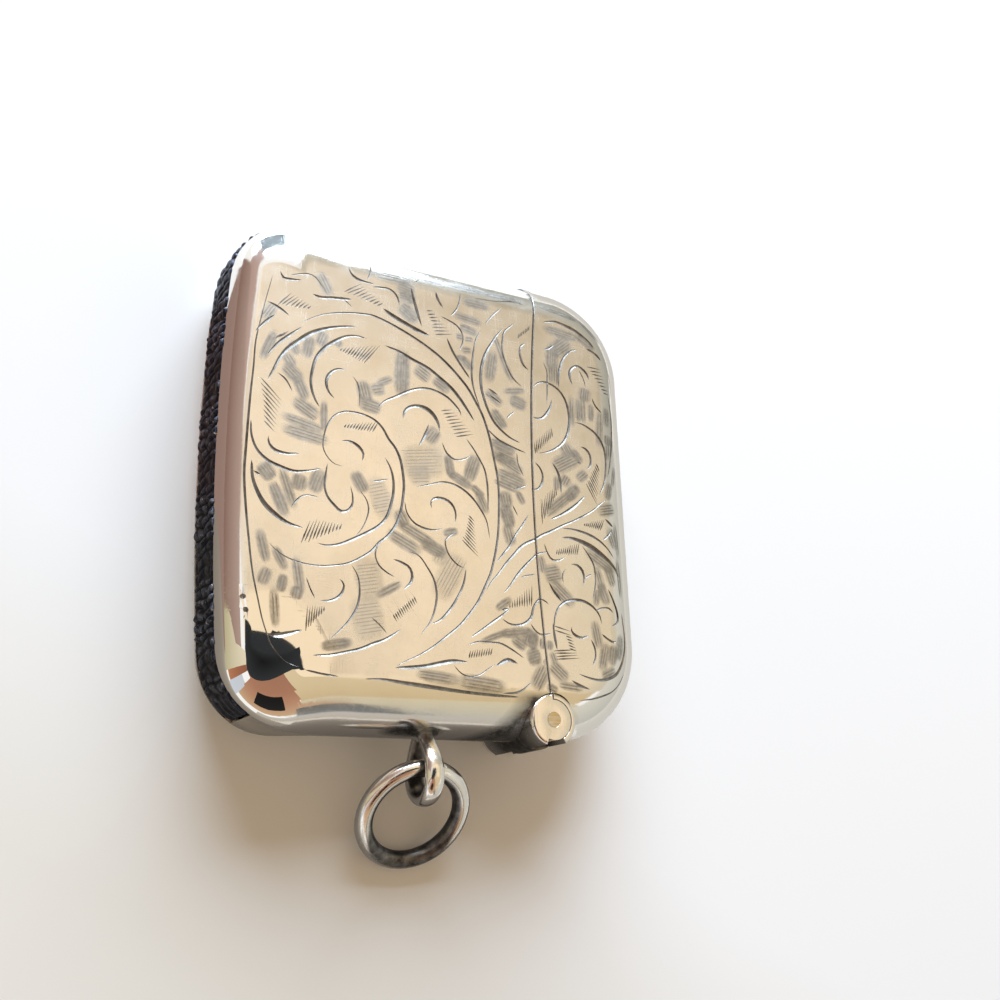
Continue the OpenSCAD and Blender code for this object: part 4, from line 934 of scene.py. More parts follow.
def plain_silver():
    """Silver of the small fittings: bright, with thin tarnish in soft patches and fine scratches, and black tarnish
    with painted shade where the mesh carries it.
    """
    c = bpy.context.scene.vesta_colours
    f = Finish("worn_silver")
    patch = f.between(f.noise(0.7, 4, 0.6), 0.45, 0.75, 0, 0.45)
    lines = scratches(f)
    # the mesh's darkening, tarnish with painted shade, broken up by noise
    grime_and_shade = f.attribute("grime_and_shade") * f.between(f.noise(1.3, 4, 0.6), 0.3, 0.7, 0.8, 1.05)
    base = f.mix(grime_and_shade, f.mix(patch, c.silver, c.bloom), c.grime_and_shade)
    rough = 0.13 + patch * 0.2 + lines * 0.1 + grime_and_shade * 0.2
    normal = f.bump(lines, 0.12, 0.01, f.bump(f.noise(0.5, 2, 0.4), 0.2, 0.1))
    return f.shade(Base_Color=base, Metallic=1.0, Roughness=rough, Normal=normal)


def oxidised_silver():
    """The striker: blackened in its cuts, with bare metal on the worn tips and a bluish painted highlight on them."""
    c = bpy.context.scene.vesta_colours
    f = Finish("worn_oxidised_silver")
    tip = f.attribute("tip")
    wear = f.between(f.noise(2.2, 4, 0.65), 0.4, 0.65)
    # the raised tips: worn metal with a bluish painted highlight
    base = f.mix(f.between(tip, 0.35, 0.95) * wear, c.strip, c.strip_tip)
    base = f.mix(f.between(tip, 0.5, 0.8) * f.between(f.noise(3.4, 3, 0.6), 0.62, 0.7, 0, 0.85), base, c.silver)
    rough = 0.34 + f.between(f.noise(3, 3), 0.3, 0.7, 0, 0.25)
    return f.shade(Base_Color=base, Metallic=1.0, Roughness=rough, Normal=f.bump(f.noise(6, 3), 0.35, 0.03))


def gilt():
    """Gilding of the mouth: warm, thin in patches where the silver shows."""
    c = bpy.context.scene.vesta_colours
    f = Finish("worn_gilt")
    worn = f.between(f.noise(0.8, 4, 0.6), 0.5, 0.75, 0, 0.7)
    lines = scratches(f)
    return f.shade(Base_Color=f.mix(worn, c.gilt, c.silver), Metallic=1.0, Roughness=0.22 + lines * 0.15,
                   Normal=f.bump(lines, 0.15, 0.01))


def pin_metal():
    """The hinge pin's riveted end: brassy, filed in fine lines."""
    c = bpy.context.scene.vesta_colours
    f = Finish("worn_pin_metal")
    filed = f.noise(9, 2, 0.6, (0.1, 1, 1))
    return f.shade(Base_Color=f.mix(f.between(filed, 0.4, 0.7), c.pin, c.bloom), Metallic=1.0,
                   Roughness=0.3 + filed * 0.15, Normal=f.bump(filed, 0.2, 0.02))


def spring_steel():
    """Drawn steel of the leaf spring, its block and rivets, grained along its length with a little rust."""
    c = bpy.context.scene.vesta_colours
    f = Finish("worn_spring_steel")
    grain = f.noise(8, 3, 0.6, (1, 0.08, 1))
    rust = f.between(f.noise(1.1, 4, 0.7), 0.58, 0.75, 0, 0.6)
    base = f.mix(rust, c.spring, (0.16, 0.08, 0.04))
    rough = 0.3 + grain * 0.2 + rust * 0.2
    return f.shade(Base_Color=base, Metallic=1.0, Roughness=rough, Normal=f.bump(grain, 0.2, 0.01))


FINISHES = {f.__name__.replace("plain_", ""): f
            for f in (engraved_silver, plain_silver, oxidised_silver, gilt, pin_metal, spring_steel)}
MADE = {}


def finish(slot):
    """The material of a slot, made once."""
    if slot not in MADE:
        MADE[slot] = FINISHES[slot]()
    return MADE[slot]


def roll_rows(s, rolled, inset, count):
    """Plan rows along the rolled edge at even angles of its quarter ellipse, from its rim, or inset from it, to the
    flat."""
    _, nx, ny, a, _ = edge_inset(s, *rolled.T)
    out = np.stack([nx, ny], 1)
    return [rolled - out * (inset + (a - inset) * (1 - math.cos(t)))[:, None]
            for t in np.linspace(0, math.pi / 2, count)]


def panel_lines(s, part, loop, rolled, cuts, dabs):
    """Plan lines that a panel's triangles keep: rows of the rolled edge, the seam's rounded edge, the middle and both
    edges of every cut, and the rings of every dab."""
    margin = 0.5
    low, high = loop.min(0) - margin, loop.max(0) + margin
    seam_y = np.linspace(SEAM_LINE_FROM, s.half_width, 60)
    step = -s.seam_gap - SEAM_EDGE if part == "body" else SEAM_EDGE
    lines = roll_rows(s, rolled, 0, 13)[1:] + [np.stack([seam_at(s, seam_y) + step, seam_y], 1)]
    for path, half, _, _ in cuts:
        if (path.max(0) < low).any() or (path.min(0) > high).any():
            continue
        along = np.gradient(path, axis=0)
        along /= np.linalg.norm(along, axis=1, keepdims=True)
        left = np.stack([-along[:, 1], along[:, 0]], 1) * half[:, None]
        lines += [path, path + left, path - left]
    rings = [dab_ring(*dab[:5], scale) for dab in dabs for scale in DAB_RINGS]
    return lines + [np.concatenate([p, p[:1]]) for p in rings if (p.max(0) > low).all() and (p.min(0) < high).all()]


def panel_inside(s, rolled, top, tris):
    """Inside and rims of a half shell: the new points, the inside's faces, their corners' normals, which of them are
    smooth, and the rims' faces.

    The inside lies one wall under the rolled form, and no lower than a floor: the case's middle plane, or the top of
    the striker's recess. Its plan has the outside's rim, so the two sheets meet point for point."""
    edges = rim_edges(tris)
    rim, again = np.unique(edges, return_inverse=True)
    rim = rim[chain(again.reshape(-1, 2))]
    plan = top[rim, :2]
    under, under_tris, source = triangulate([plan], roll_rows(s, rolled, s.wall, 7), lambda c: inside(c, plan), 1e-5)
    inner, inwards, _ = roll_height(s, *under.T, s.wall)
    within = edge_inset(s, *under.T)[0] >= s.wall - 1e-6
    floor = np.where(under[:, 0] < s.plate_end, s.recess_top, s.middle)
    below = np.column_stack([under, np.where(within, np.maximum(inner, floor), floor)])
    vault = (within & (inner > floor))[under_tris].all(1)
    # points of the rim that are as high as the outside's are the same points
    on_rim = (source >= 0) & (source < len(plan))
    upper = np.full(len(under), -1)
    upper[on_rim] = rim[source[on_rim]]
    fresh = ~(on_rim & (below[:, 2] >= top[np.maximum(upper, 0), 2] - 1e-4))
    lower = np.where(fresh, len(top) + np.cumsum(fresh) - 1, upper)
    drop = np.full(len(top), -1)
    drop[upper[on_rim]] = lower[on_rim]
    walls = [list(dict.fromkeys((i, drop[i], drop[j], j))) for i, j in edges]
    turned = under_tris[:, ::-1]
    return below[fresh], lower[turned], -inwards[turned], vault, [f for f in walls if len(f) > 2]


def panel(s, name, part, body, rear, cuts, dabs):
    """One half shell: the rolled form cut by the engraving, its inside one wall away, and the rims between them.

    The outside is a plan triangulation that keeps every cut's edges and middle; its z is the rolled height less the
    cut's depth. A rear half is the front half mirrored in z."""
    loop, rolled = panel_loop(s, part)
    lines = panel_lines(s, part, loop, rolled, cuts, dabs)
    points, tris, _ = triangulate([loop], lines, lambda c: inside(c, loop))
    middles = points[tris].mean(1)
    depth, tone = cut_depth(cuts, points)[0], cut_depth(cuts, middles)[1]
    height, normal, u = roll_height(s, *points.T)
    from_seam = np.abs(points[:, 0] - seam_at(s, points[:, 1]) + (s.seam_gap if part == "body" else 0))
    chamfer = np.where(points[:, 1] > SEAM_FROM, SEAM_SLOPE * np.maximum(0, SEAM_EDGE - from_seam), 0)
    depth = np.maximum(depth, chamfer)
    top = np.column_stack([points, height - depth])
    # the seam darkens from the hinge towards the far side
    seam = TONES["seam"] * (0.5 + 0.5 * smooth((middles[:, 1] + 4) / 8))
    tone = np.where((chamfer[tris] > CUT_FROM).any(1), np.maximum(tone, seam), tone)

    fresh, under_faces, under_normals, vault, walls = panel_inside(s, rolled, top, tris)
    verts = np.concatenate([top, fresh])
    sheets = [(tris, normal[tris], (depth[tris] <= CUT_FROM).all(1)), (under_faces, under_normals, vault)]
    if rear:
        verts = verts * [1, 1, -1] + [0, 0, s.thickness]
        sheets = [(f[:, ::-1], n[:, ::-1] * [1, 1, -1], even) for f, n, even in sheets]
        walls = [f[::-1] for f in walls]
    # smooth faces take the form's own normals, cut faces and rims their flat ones
    normals = [np.where(even[:, None, None], form, flat_normal(verts[f])[:, None]).reshape(-1, 3)
               for f, form, even in sheets]
    normals += [np.tile(flat_normal(verts[f]), (len(f), 1)) for f in walls]
    faces = [face for sheet in sheets for face in sheet[0].tolist()] + walls

    x, y, radius, soft = WORN
    worn = smooth((radius - np.hypot(points[:, 0] - x, points[:, 1] - y)) / soft)
    polish = np.maximum(smooth((u - 0.02) / 0.18), 2 * worn)
    spare, others = np.zeros(len(fresh)), len(faces) - len(tris)
    return put(f"engraved_{name}", body, verts, faces, "engraved_silver", (name,), np.concatenate(normals).tolist(), (
        ("cut", "FACE", np.concatenate([tone, np.zeros(others)])),
        ("within", "FACE", np.repeat([0.0, 1.0], [len(tris), others])),
        ("polish", "POINT", np.concatenate([polish, spare])),
        ("ground", "POINT", np.concatenate([dab_grey(dabs, points), spare]))))


def chain(edges):
    """Point numbers of one closed loop of directed edges, in order."""
    after = dict(map(tuple, edges.tolist()))
    order = [edges[0, 0]]
    while after[order[-1]] != order[0]:
        order.append(after[order[-1]])
    if len(order) != len(edges):
        raise RuntimeError("a panel's rim isn't one loop")
    return np.array(order)


class VESTA_OT_panels(bpy.types.Operator):
    """Makes the engraved half shells of the body and lid"""
    bl_idname = "vesta.panels"
    bl_label = "Engraved Panels"

    def execute(self, context):
        s, (cuts, dabs) = sizes(), engraving()
        for part, body in (("body", "case"), ("lid", "lid")):
            for half in ("front", "rear"):
                panel(s, f"{part}_{half}", part, body, half == "rear", cuts, dabs)
        return {"FINISHED"}


class VESTA_OT_striker(bpy.types.Operator):
    """Makes the serrated striker let into the base"""
    bl_idname = "vesta.striker"
    bl_label = "Striker"

    def execute(self, context):
        """A section carried along the base outline: its outer side swells into uneven teeth, each broken into lumps.

        A tooth is 1 - |2f - 1|^2.2 of its pitch f, a lump a power of a sine of the height. Both fade at the hinge
        side's end, where the strip is smooth with grooves along it."""
        s = sizes()
        line = base_outline(s, 60, 120)
        line = line[line[:, 0] <= s.strip_end]
        u = np.concatenate([[0], np.cumsum(np.linalg.norm(np.diff(line, axis=0), axis=1))])
        t = np.linspace(0, u[-1], 900)
        plan = np.stack([np.interp(t, u, line[:, 0]), np.interp(t, u, line[:, 1])], 1)
        _, nx, ny, _, _ = edge_inset(s, *plan.T)
        z = np.linspace(s.strip_low, s.strip_high, 34)
        tt, zz = np.meshgrid(t, z, indexing="ij")
        uneven = 0.14 * np.sin(tt * 1.9) + 0.1 * np.sin(tt * 5.3 + 1) + 0.2 * np.sin(zz * 1.7 + tt * 0.9)
        phase = tt / s.tooth_pitch + uneven
        index = np.floor(phase)
        tooth = 1 - np.abs(2 * (phase % 1) - 1) ** 2.2
        strength = 0.5 + 0.5 * np.abs(np.sin(index * 12.9 + 0.7))
        lump = np.abs(np.sin(math.pi * (zz - s.strip_low) / 1.5 + 2.4 * index + 0.5 * np.sin(tt * 3.1))) ** 0.6
        raised = tooth * strength * (0.4 + 0.6 * lump)
        fade = smooth((u[-1] - tt - 0.6) / 3)
        # the long edges are rounded off by 0.2 over the last 0.3
        edge = np.minimum(zz - s.strip_low, s.strip_high - zz)
        rounded = 0.2 * (1 - np.sqrt(np.clip(1 - (1 - np.clip(edge / 0.3, 0, 1)) ** 2, 0, 1)))
        plain = 0.1 - 0.05 * np.sin(zz * 6 + 0.4 * np.sin(tt * 2))
        out = fade * (s.strip_proud - 0.36 * (1 - raised)) + (1 - fade) * plain - rounded
        # both ends narrow to a round tongue under an upper edge that runs straight on
        end = np.clip(np.minimum(t, u[-1] - t) / 1.2, 0, 1)
        narrow = 0.82 + 0.18 * np.sqrt(1 - (1 - end) ** 2)
        zz = s.strip_high + (zz - s.strip_high) * narrow[:, None]
        face = np.stack([plan[:, None, 0] + nx[:, None] * out, plan[:, None, 1] + ny[:, None] * out, zz], -1)
        depth = 0.24
        behind = np.stack([plan[:, 0] - nx * depth, plan[:, 1] - ny * depth], 1)
        rows = np.concatenate([
            face,
            np.column_stack([behind, zz[:, -1] - FINE_EDGE])[:, None],
            np.column_stack([behind, zz[:, 0] + FINE_EDGE])[:, None]], 1)
        tip = np.zeros(rows.shape[:2])
        tip[:, :len(z)] = np.clip(raised * fade + 0.45 * (1 - fade), 0, 1)
        put("striker_teeth", "case", *skin(rows), "oxidised_silver", ("striker",),
            attributes=(("tip", "POINT", tip.ravel()),))
        return {"FINISHED"}


class VESTA_OT_hinge(bpy.types.Operator):
    """Makes the hinge knuckles and the lid's ears round them"""
    bl_idname = "vesta.hinge"
    bl_label = "Hinge"

    def execute(self, context):
        """Arcs round the hinge axis: each knuckle is a wide tab with a core, each ear a strip round that core.

        Only the rims of the outer faces are rounded, and tarnish with painted shade between the parts starts a little
        behind those faces."""
        s = sizes()
        inner = s.barrel_radius - s.ear_wall
        core = inner - s.knuckle_gap

        def turn(radius, first, last, count):
            return arc(s.hinge_x, s.hinge_y, radius, first, last, count)

        def full_turn(radius, count):
            return turn(radius, 0, TURN * (count - 1) / count, count)

        tab_from, tab_to, ear_from, ear_to = (math.radians(a) for a in TAB_ARC + EAR_ARC)
        rim = 40
        tab = np.concatenate([turn(s.barrel_radius, tab_from, tab_to, rim), turn(core, tab_to, tab_from + TURN, 44)])
        ear = np.concatenate([turn(s.barrel_radius, ear_from, ear_to, rim), turn(inner, ear_to, ear_from, 40)])
        hole = full_turn(s.pin_radius + PIN_PLAY, 36)
        low, high = KNUCKLE_LOW[2], KNUCKLE_HIGH[2]
        for half in ("front", "rear"):
            z = (low, high) if half == "front" else (s.thickness - high, s.thickness - low)
            for name, body, node_name, loop, rounding, bore in (
                    (f"{half}_hinge_tab", "case", f"{half}_knuckle", tab, s.tab_edge, hole),
                    (f"{half}_hinge_ear", "lid", f"{half}_ear", ear, s.ear_edge, None)):
                edge = np.full(len(loop), FINE_EDGE)
                edge[:rim] = rounding
                edge[[0, rim - 1]] = CORNER_EDGE
                upper, lower = (edge, FINE_EDGE) if half == "front" else (FINE_EDGE, edge)
                points, faces = prism(loop, *z, upper, bore, bevel_low=lower)
                # behind the outer faces the knuckles are painted dark: tarnish with painted shade between the parts
                behind = z[1] - points[:, 2] if half == "front" else points[:, 2] - z[0]
                sharpen(put(name, body, points, faces, "silver", (node_name,),
                            attributes=(("grime_and_shade", "POINT", 0.95 * smooth((behind - 0.25) / 0.2)),)))
        low, high = (c[2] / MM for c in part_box("lid_knuckle"))
        points, faces = prism(full_turn(s.barrel_radius, 72), low, high, FINE_EDGE, hole)
        # the lid's knuckle, between the tabs and ears, is painted dark all over: tarnish with painted shade
        sharpen(put("lid_hinge_knuckle", "lid", points, faces, "silver", ("lid_knuckle",),
                    attributes=(("grime_and_shade", "POINT", np.full(len(points), 0.95)),)))
        return {"FINISHED"}


class VESTA_OT_loop(bpy.types.Operator):
    """Makes the suspension loop, its foot and the ring"""
    bl_idname = "vesta.loop"
    bl_label = "Loop and Ring"

    def execute(self, context):
        s = sizes()
        self.loop(s)
        self.foot(s)
        self.ring(s)
        return {"FINISHED"}

    def loop(self, s):
        """A D-shaped strap carried along a U: two legs and a half circle, widest at the middle of each leg.

        The width is 0.62 + 0.38 of a sine of the way along a leg, the legs draw together and sink a little at the
        case, and the inner side is flatter and painted dark: tarnish with painted shade."""
        x, _, z = (LOOP_LOW + LOOP_HIGH) / 2
        width, _, height = LOOP_HIGH - LOOP_LOW
        r = (height - s.loop_strap) / 2
        turn_y = LOOP_LOW[1] + s.loop_strap / 2 + r
        root = -s.half_width + 0.55
        t = np.linspace(0, math.pi, 33)
        bend = np.stack([turn_y - r * np.sin(t), z + r * np.cos(t)], 1)
        leg = np.linspace(0, 1, 20)[:-1]
        leg_y, apart = root + leg * (turn_y - root), r * (0.2 + 0.8 * smooth(leg * 1.1) ** 0.8)
        sunk = z - 0.35 * (1 - smooth(leg * 1.2))
        yz = np.concatenate([np.stack([leg_y, sunk + apart], 1), bend, np.stack([leg_y, sunk - apart], 1)[::-1]])
        path = np.column_stack([np.full(len(yz), x), yz])
        ahead = np.gradient(path, axis=0)
        ahead /= np.linalg.norm(ahead, axis=1, keepdims=True)
        way = np.concatenate([[0], np.cumsum(np.linalg.norm(np.diff(path, axis=0), axis=1))])
        half_way = 1 - np.abs(2 * way / way[-1] - 1)
        swell = 0.62 + 0.38 * np.sin(math.pi * (0.03 + 0.72 * half_way)) ** 0.8
        across = np.tile([1.0, 0, 0], (len(path), 1))
        up = np.cross(ahead, across)
        section = superellipse(width, s.loop_strap, 2.3, 36)
        section[section[:, 1] < 0] *= [1, 0.8]
        points, quads = sweep(path, across * swell[:, None], up, section, False)
        # painted shade with tarnish on the strap's inner side
        grime_and_shade = np.tile(smooth(-section[:, 1] / s.loop_strap * 4), len(path)) * 0.9
        sharpen(put("loop_strap", "case", points, quads, "silver", ("suspension_loop",),
                    attributes=(("grime_and_shade", "POINT", grime_and_shade),)), 50)

    def foot(self, s):
        """An oval mound of solder on the hinge side: its back lies on the rolled side, its front swells towards the
        loop's legs, less and darker above them."""
        low, high = (np.array(c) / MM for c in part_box("loop_foot"))
        cx, _, cz = (low + high) / 2
        rx, rz = (high[0] - low[0]) * 0.44, (high[2] - low[2]) * 0.27
        rho, theta = np.linspace(0.04, 1, 14), np.linspace(0, TURN, 56, endpoint=False)
        rr, th = np.meshgrid(rho, theta, indexing="ij")
        x, z = cx + rx * rr * np.cos(th), cz + rz * rr * np.sin(th)
        flat = s.side_round - s.middle
        away = np.maximum(0, np.abs(z - s.middle) + flat)
        y = -(s.half_width - s.side_round + np.sqrt(np.maximum(s.side_round ** 2 - away ** 2, 0.01)))
        swell = 0.5 * np.clip(1 - rr ** 2, 0, 1) ** 1.5 * (1 - 0.85 * smooth((z - 4.5) / 0.9)) + 0.01
        front = np.stack([x, y - swell, z], -1)
        back = np.stack([x, y + 0.05, z], -1)
        # darker above the loop's legs
        grime_and_shade = 0.12 + 0.8 * smooth((np.concatenate([z, z[::-1]]) - 5) / 0.5)
        sharpen(put("loop_foot_mound", "case", *skin(np.concatenate([front, back[::-1]])), "silver", ("loop_foot",),
                    attributes=(("grime_and_shade", "POINT", grime_and_shade.ravel()),)), 60)

    def ring(self, s):
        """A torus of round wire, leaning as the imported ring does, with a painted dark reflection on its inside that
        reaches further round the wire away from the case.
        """
        low, high = (np.array(c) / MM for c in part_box("suspension_ring"))
        centre = (low + high) / 2
        tilt = ring_tilt(s, low, high)
        out = np.array([0, -math.cos(tilt), -math.sin(tilt)])
        axis = np.array([0, -math.sin(tilt), math.cos(tilt)])
        t = np.linspace(0, TURN, 120, endpoint=False)
        spoke = np.cos(t)[:, None] * np.array([1.0, 0, 0]) + np.sin(t)[:, None] * out
        path = centre + s.ring_radius * spoke
        section = superellipse(2 * s.ring_wire, 2 * s.ring_wire, 2.0, 32)
        points, quads = sweep(path, spoke, np.tile(axis, (len(t), 1)), section, True)
        normal = flat_normal(points[quads[0]])
        if normal @ (points[quads[0]].mean(0) - path[0]) < 0:
            quads = [q[::-1] for q in quads]
        # painted dark reflection: black on the wire's inner side, reaching further round it on the side away from the
        # case
        reach = 0.8 * smooth((np.sin(t) - 0.2) / 0.6) - 0.1
        grime_and_shade = 0.94 * smooth((reach[:, None] - section[None, :, 0] / s.ring_wire) / 0.45).ravel()
        put("swinging_ring", "ring", points, quads, "silver", ("suspension_ring",),
            attributes=(("grime_and_shade", "POINT", grime_and_shade),))


class VESTA_OT_lip(bpy.types.Operator):
    """Makes the thumb lip on the lid's far side"""
    bl_idname = "vesta.lip"
    bl_label = "Thumb Lip"

    def execute(self, context):
        """A crescent between two arcs in the plane of y and z, the lip's own and one just inside the rolled side,
        carried along x as a plate; it is darker on its face towards the seam."""
        s = sizes()
        low, high = (np.array(c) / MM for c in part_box("thumb_lip"))
        radius, centre = s.lip_radius, high[1] - s.lip_radius
        side = s.side_round - 0.06
        roll = s.half_width - s.side_round
        # the two arcs meet where both circles have the same y
        meet = (side ** 2 - radius ** 2 + centre ** 2 - roll ** 2) / (2 * (centre - roll))
        outer, inner = math.acos((meet - centre) / radius), math.acos((meet - roll) / side)
        loop = np.concatenate([arc(centre, s.middle, radius, -outer, outer, 40),
                               arc(roll, s.middle, side, inner, -inner, 40)[1:-1]])
        edge = np.minimum(0.14, 0.45 * np.maximum(0.02, loop[:, 0] - meet))
        points, faces = prism(loop, low[0], high[0], edge)
        # darker on the face towards the seam
        grime_and_shade = 0.92 * (1 - smooth((points[:, 2] - low[0]) / 0.3))
        sharpen(put("lid_thumb_lip", "lid", points[:, [2, 0, 1]], faces, "silver", ("thumb_lip",),
                    attributes=(("grime_and_shade", "POINT", grime_and_shade),)), 50)
        return {"FINISHED"}


def ring_tilt(s, low, high):
    """Lean of the ring below the horizontal, from the reach of its box: reach = radius times cosine, plus the wire."""
    reach = (high[1] - low[1]) / 2 - s.ring_wire
    return math.acos(min(1, reach / s.ring_radius))


class VESTA_OT_fittings(bpy.types.Operator):
    """Finishes the solids that show as they are: pin, mouth, spring and base plate"""
    bl_idname = "vesta.fittings"
    bl_label = "Inner Fittings"

    def execute(self, context):
        wanted = {"hinge_pin": "pin_metal", "base_plate": "silver", "mouth_rim": "gilt", "leaf_spring": "spring_steel",
                  "spring_block": "spring_steel", "spring_rivets": "spring_steel"}
        for name, slot in wanted.items():
            mesh = frame["nodes"][name].data
            mesh.materials.clear()
            mesh.materials.append(finish(slot))
        return {"FINISHED"}


class VESTA_OT_stage(bpy.types.Operator):
    """Makes the floor, the light, the reflector cards and the camera"""
    bl_idname = "vesta.stage"
    bl_label = "Stage"

    def execute(self, context):
        scene = context.scene
        scene.view_settings.view_transform = "Standard"
        self.world(scene)
        self.floor()
        self.lamp(scene)
        for card in CARDS:
            self.card(*card)
        self.overhead()
        self.mats()
        self.camera(scene)
        return {"FINISHED"}

    def world(self, scene):
        """White to the camera and in reflections, a softer warm fill on everything else."""
        world = bpy.data.worlds.new("studio")
        world.use_nodes = True
        tree = world.node_tree
        tree.nodes.clear()
        seen = node(tree, "ShaderNodeLightPath", out="Is Camera Ray")
        for kind in ("Is Glossy Ray", "Is Transmission Ray"):
            seen = seen.above(node(tree, "ShaderNodeLightPath", out=kind))
        fill = node(tree, "ShaderNodeBackground", sockets={"Color": (1.0, 0.78, 0.55), "Strength": 0.46})
        white = node(tree, "ShaderNodeBackground", sockets={"Color": (1, 1, 1), "Strength": 1.0})
        both = node(tree, "ShaderNodeMixShader", sockets={0: seen, 1: fill, 2: white})
        node(tree, "ShaderNodeOutputWorld", sockets={"Surface": both})
        scene.world = world

    def floor(self):
        """A round table, gently uneven in tone, with a painted shadow that darkens and warms it towards the hinge
        side's left.
        """
        sides, radius, level = 64, 900, -0.02
        t = np.linspace(0, TURN, sides, endpoint=False)
        points = np.column_stack([radius * np.cos(t), radius * np.sin(t), np.full(sides, level)])
        f = Finish("table")
        pale = bpy.context.scene.vesta_colours.floor
        tone = f.between(f.noise(0.02, 3), 0.3, 0.7, 0, 0.3)
        # painted shadow: the table darkens and warms towards the hinge side's left
        painted_shadow = f.between(f.along("Y") * -1 - f.along("X") * 0.5, 18, 42)
        even = f.mix(tone, pale, [v * 0.98 for v in pale])
        floor_with_painted_shadow = f.mix(painted_shadow, even, [v * k for v, k in zip(pale, (0.88, 0.85, 0.79))])
        material = f.shade(Base_Color=floor_with_painted_shadow, Roughness=0.8, Specular_IOR_Level=0.2)
        self.piece("floor", points, [list(range(sides))], material)

    def lamp(self, scene):
        """One large soft lamp from the far side, so the shadow falls towards the hinge side."""
        light = bpy.data.lights.new("key", "AREA")
        light.shape, light.size, light.size_y = "ELLIPSE", 0.74, 0.5
        light.energy, light.color = 11.3, (0.7, 0.84, 1.0)
        lamp = bpy.data.objects.new("key", light)
        place = np.array([0.0, 0.9, 0.41]) * 0.7
        back = place / np.linalg.norm(place)
        right = np.cross([0, 0, 1.0], back)
        lamp.matrix_world = aimed(place, right / np.linalg.norm(right), back)
        scene.collection.objects.link(lamp)

    def card(self, name, r, azimuth, elevation, lower, upper):
        """A patch of a sphere round the object that only reflections see; its glow runs from lower to upper."""
        count = 24
        aa, ee = np.meshgrid(*(np.radians(np.linspace(*span, count)) for span in (azimuth, elevation)))
        mix = np.repeat(np.linspace(0, 1, count), count)
        self.glowing(name, on_sphere(r, aa, ee), grid_quads(count, count, closed=False).tolist(), mix, lower, upper)

    def overhead(self):
        """The dark shape overhead that the corners mirror: an oval by the zenith, in degrees from it, laid on a sphere.

        Its far end is blunt: no further along than a parabola across the oval that runs on in a straight flank."""
        turn, rows, count = math.radians(30), 12, 384
        way, angle = np.meshgrid(np.linspace(0.02, 1, rows), np.linspace(0, TURN, count, endpoint=False), indexing="ij")
        long, wide = -3.25 + 24.75 * way * np.cos(angle), 12 * way * np.sin(angle)
        off, flank = np.maximum(wide + 1.4, -2), 3.33
        long = np.minimum(long, 21.2 - 0.3 * np.minimum(off, flank) ** 2 - 2 * np.maximum(0, off - flank))
        x, y = long * math.cos(turn) - wide * math.sin(turn), long * math.sin(turn) + wide * math.cos(turn)
        points = on_sphere(585, np.arctan2(y, x), math.pi / 2 - np.radians(np.hypot(x, y)))
        faces = grid_quads(rows, count).tolist() + [list(range(count))]
        self.glowing("card_overhead", points, faces, way.ravel(), (0.012, 0.012, 0.013), (0.034, 0.037, 0.04))

    def glowing(self, name, points, quads, mix, lower, upper):
        """A card whose glow runs from lower to upper with mix, seen by reflections alone."""
        f = Finish(name)
        glow = f.mix(f.attribute("glow"), lower, upper)
        shader = f.add("ShaderNodeEmission", sockets={"Color": glow, "Strength": 1.0})
        f.add("ShaderNodeOutputMaterial", sockets={"Surface": shader})
        card = self.piece(name, points, quads, f.material)
        card.data.attributes.new("glow", "FLOAT", "POINT").data.foreach_set("value", mix.astype(np.float32))
        card.visible_camera = card.visible_diffuse = card.visible_shadow = card.visible_transmission = False

    def mats(self):
        """Patches on the floor that only reflections see, darker near the case as a painted shadow: sectors round the
        case, and a dark one out from the hinge.
        """
        rows, count = 20, 40
        way, wide = np.meshgrid(np.linspace(0, 1, rows), np.linspace(0, 1, count), indexing="ij")
        quads = grid_quads(rows, count, closed=False).tolist()
        # rows run from 15 to 600 out, closer together near the case, a little above the floor
        r, flat = 15 * 40 ** way, np.full(way.size, 0.05)
        for name, first, last, near, far in MATS:
            a = np.radians(first + (last - first) * wide)
            points = np.column_stack([(r * np.cos(a)).ravel(), (r * np.sin(a)).ravel(), flat])
            self.glowing(name, points, quads, way.ravel(), near, far)
        # painted shadow of the case and hinge on the floor, dark near them, as reflections see it
        y = -19 - 60 * way
        x = -16 + 26 * way + (26 + 10 * way) * wide
        hinge = np.column_stack([x.ravel(), y.ravel(), flat * 2])
        lit = np.clip(way + 0.35 * (1 - wide) ** 2, 0, 1)
        self.glowing("mat_hinge", hinge, quads, lit.ravel(), (0.07, 0.06, 0.05), (0.34, 0.3, 0.26))

    def piece(self, name, points, faces, material):
        """A mesh object of the stage, from millimetre points."""
        mesh = bpy.data.meshes.new(name)
        mesh.from_pydata((np.asarray(points) * MM).tolist(), [], faces)
        mesh.materials.append(material)
        piece = bpy.data.objects.new(name, mesh)
        bpy.context.scene.collection.objects.link(piece)
        return piece

    def camera(self, scene):
        """The photograph's view, from above the striker's lower corner."""
        data = bpy.data.cameras.new("camera")
        data.sensor_width, data.lens = 36.0, 42.33
        data.clip_start, data.clip_end = 0.005, 10
        camera = bpy.data.objects.new("camera", data)
        right = np.array([0.8646, -0.03087, 0.50152])
        back = np.array([-0.48542, -0.30908, 0.81782])
        camera.matrix_world = aimed(np.array([-41.712, -30.616, 85.84]) * MM, right, back)
        scene.collection.objects.link(camera)
        scene.camera = camera


def aimed(place, right, back):
    """A matrix at a place in metres whose own x points right and whose own z points back."""
    turn = np.eye(4)
    turn[:3] = np.stack([right, np.cross(back, right), back, place], 1)
    return Matrix(turn.tolist())


def on_sphere(radius, azimuth, elevation):
    """Points on a sphere round the object from angles in radians."""
    across = np.cos(elevation)
    points = np.stack([across * np.cos(azimuth), across * np.sin(azimuth), np.sin(elevation)], -1)
    return radius * points.reshape(-1, 3)


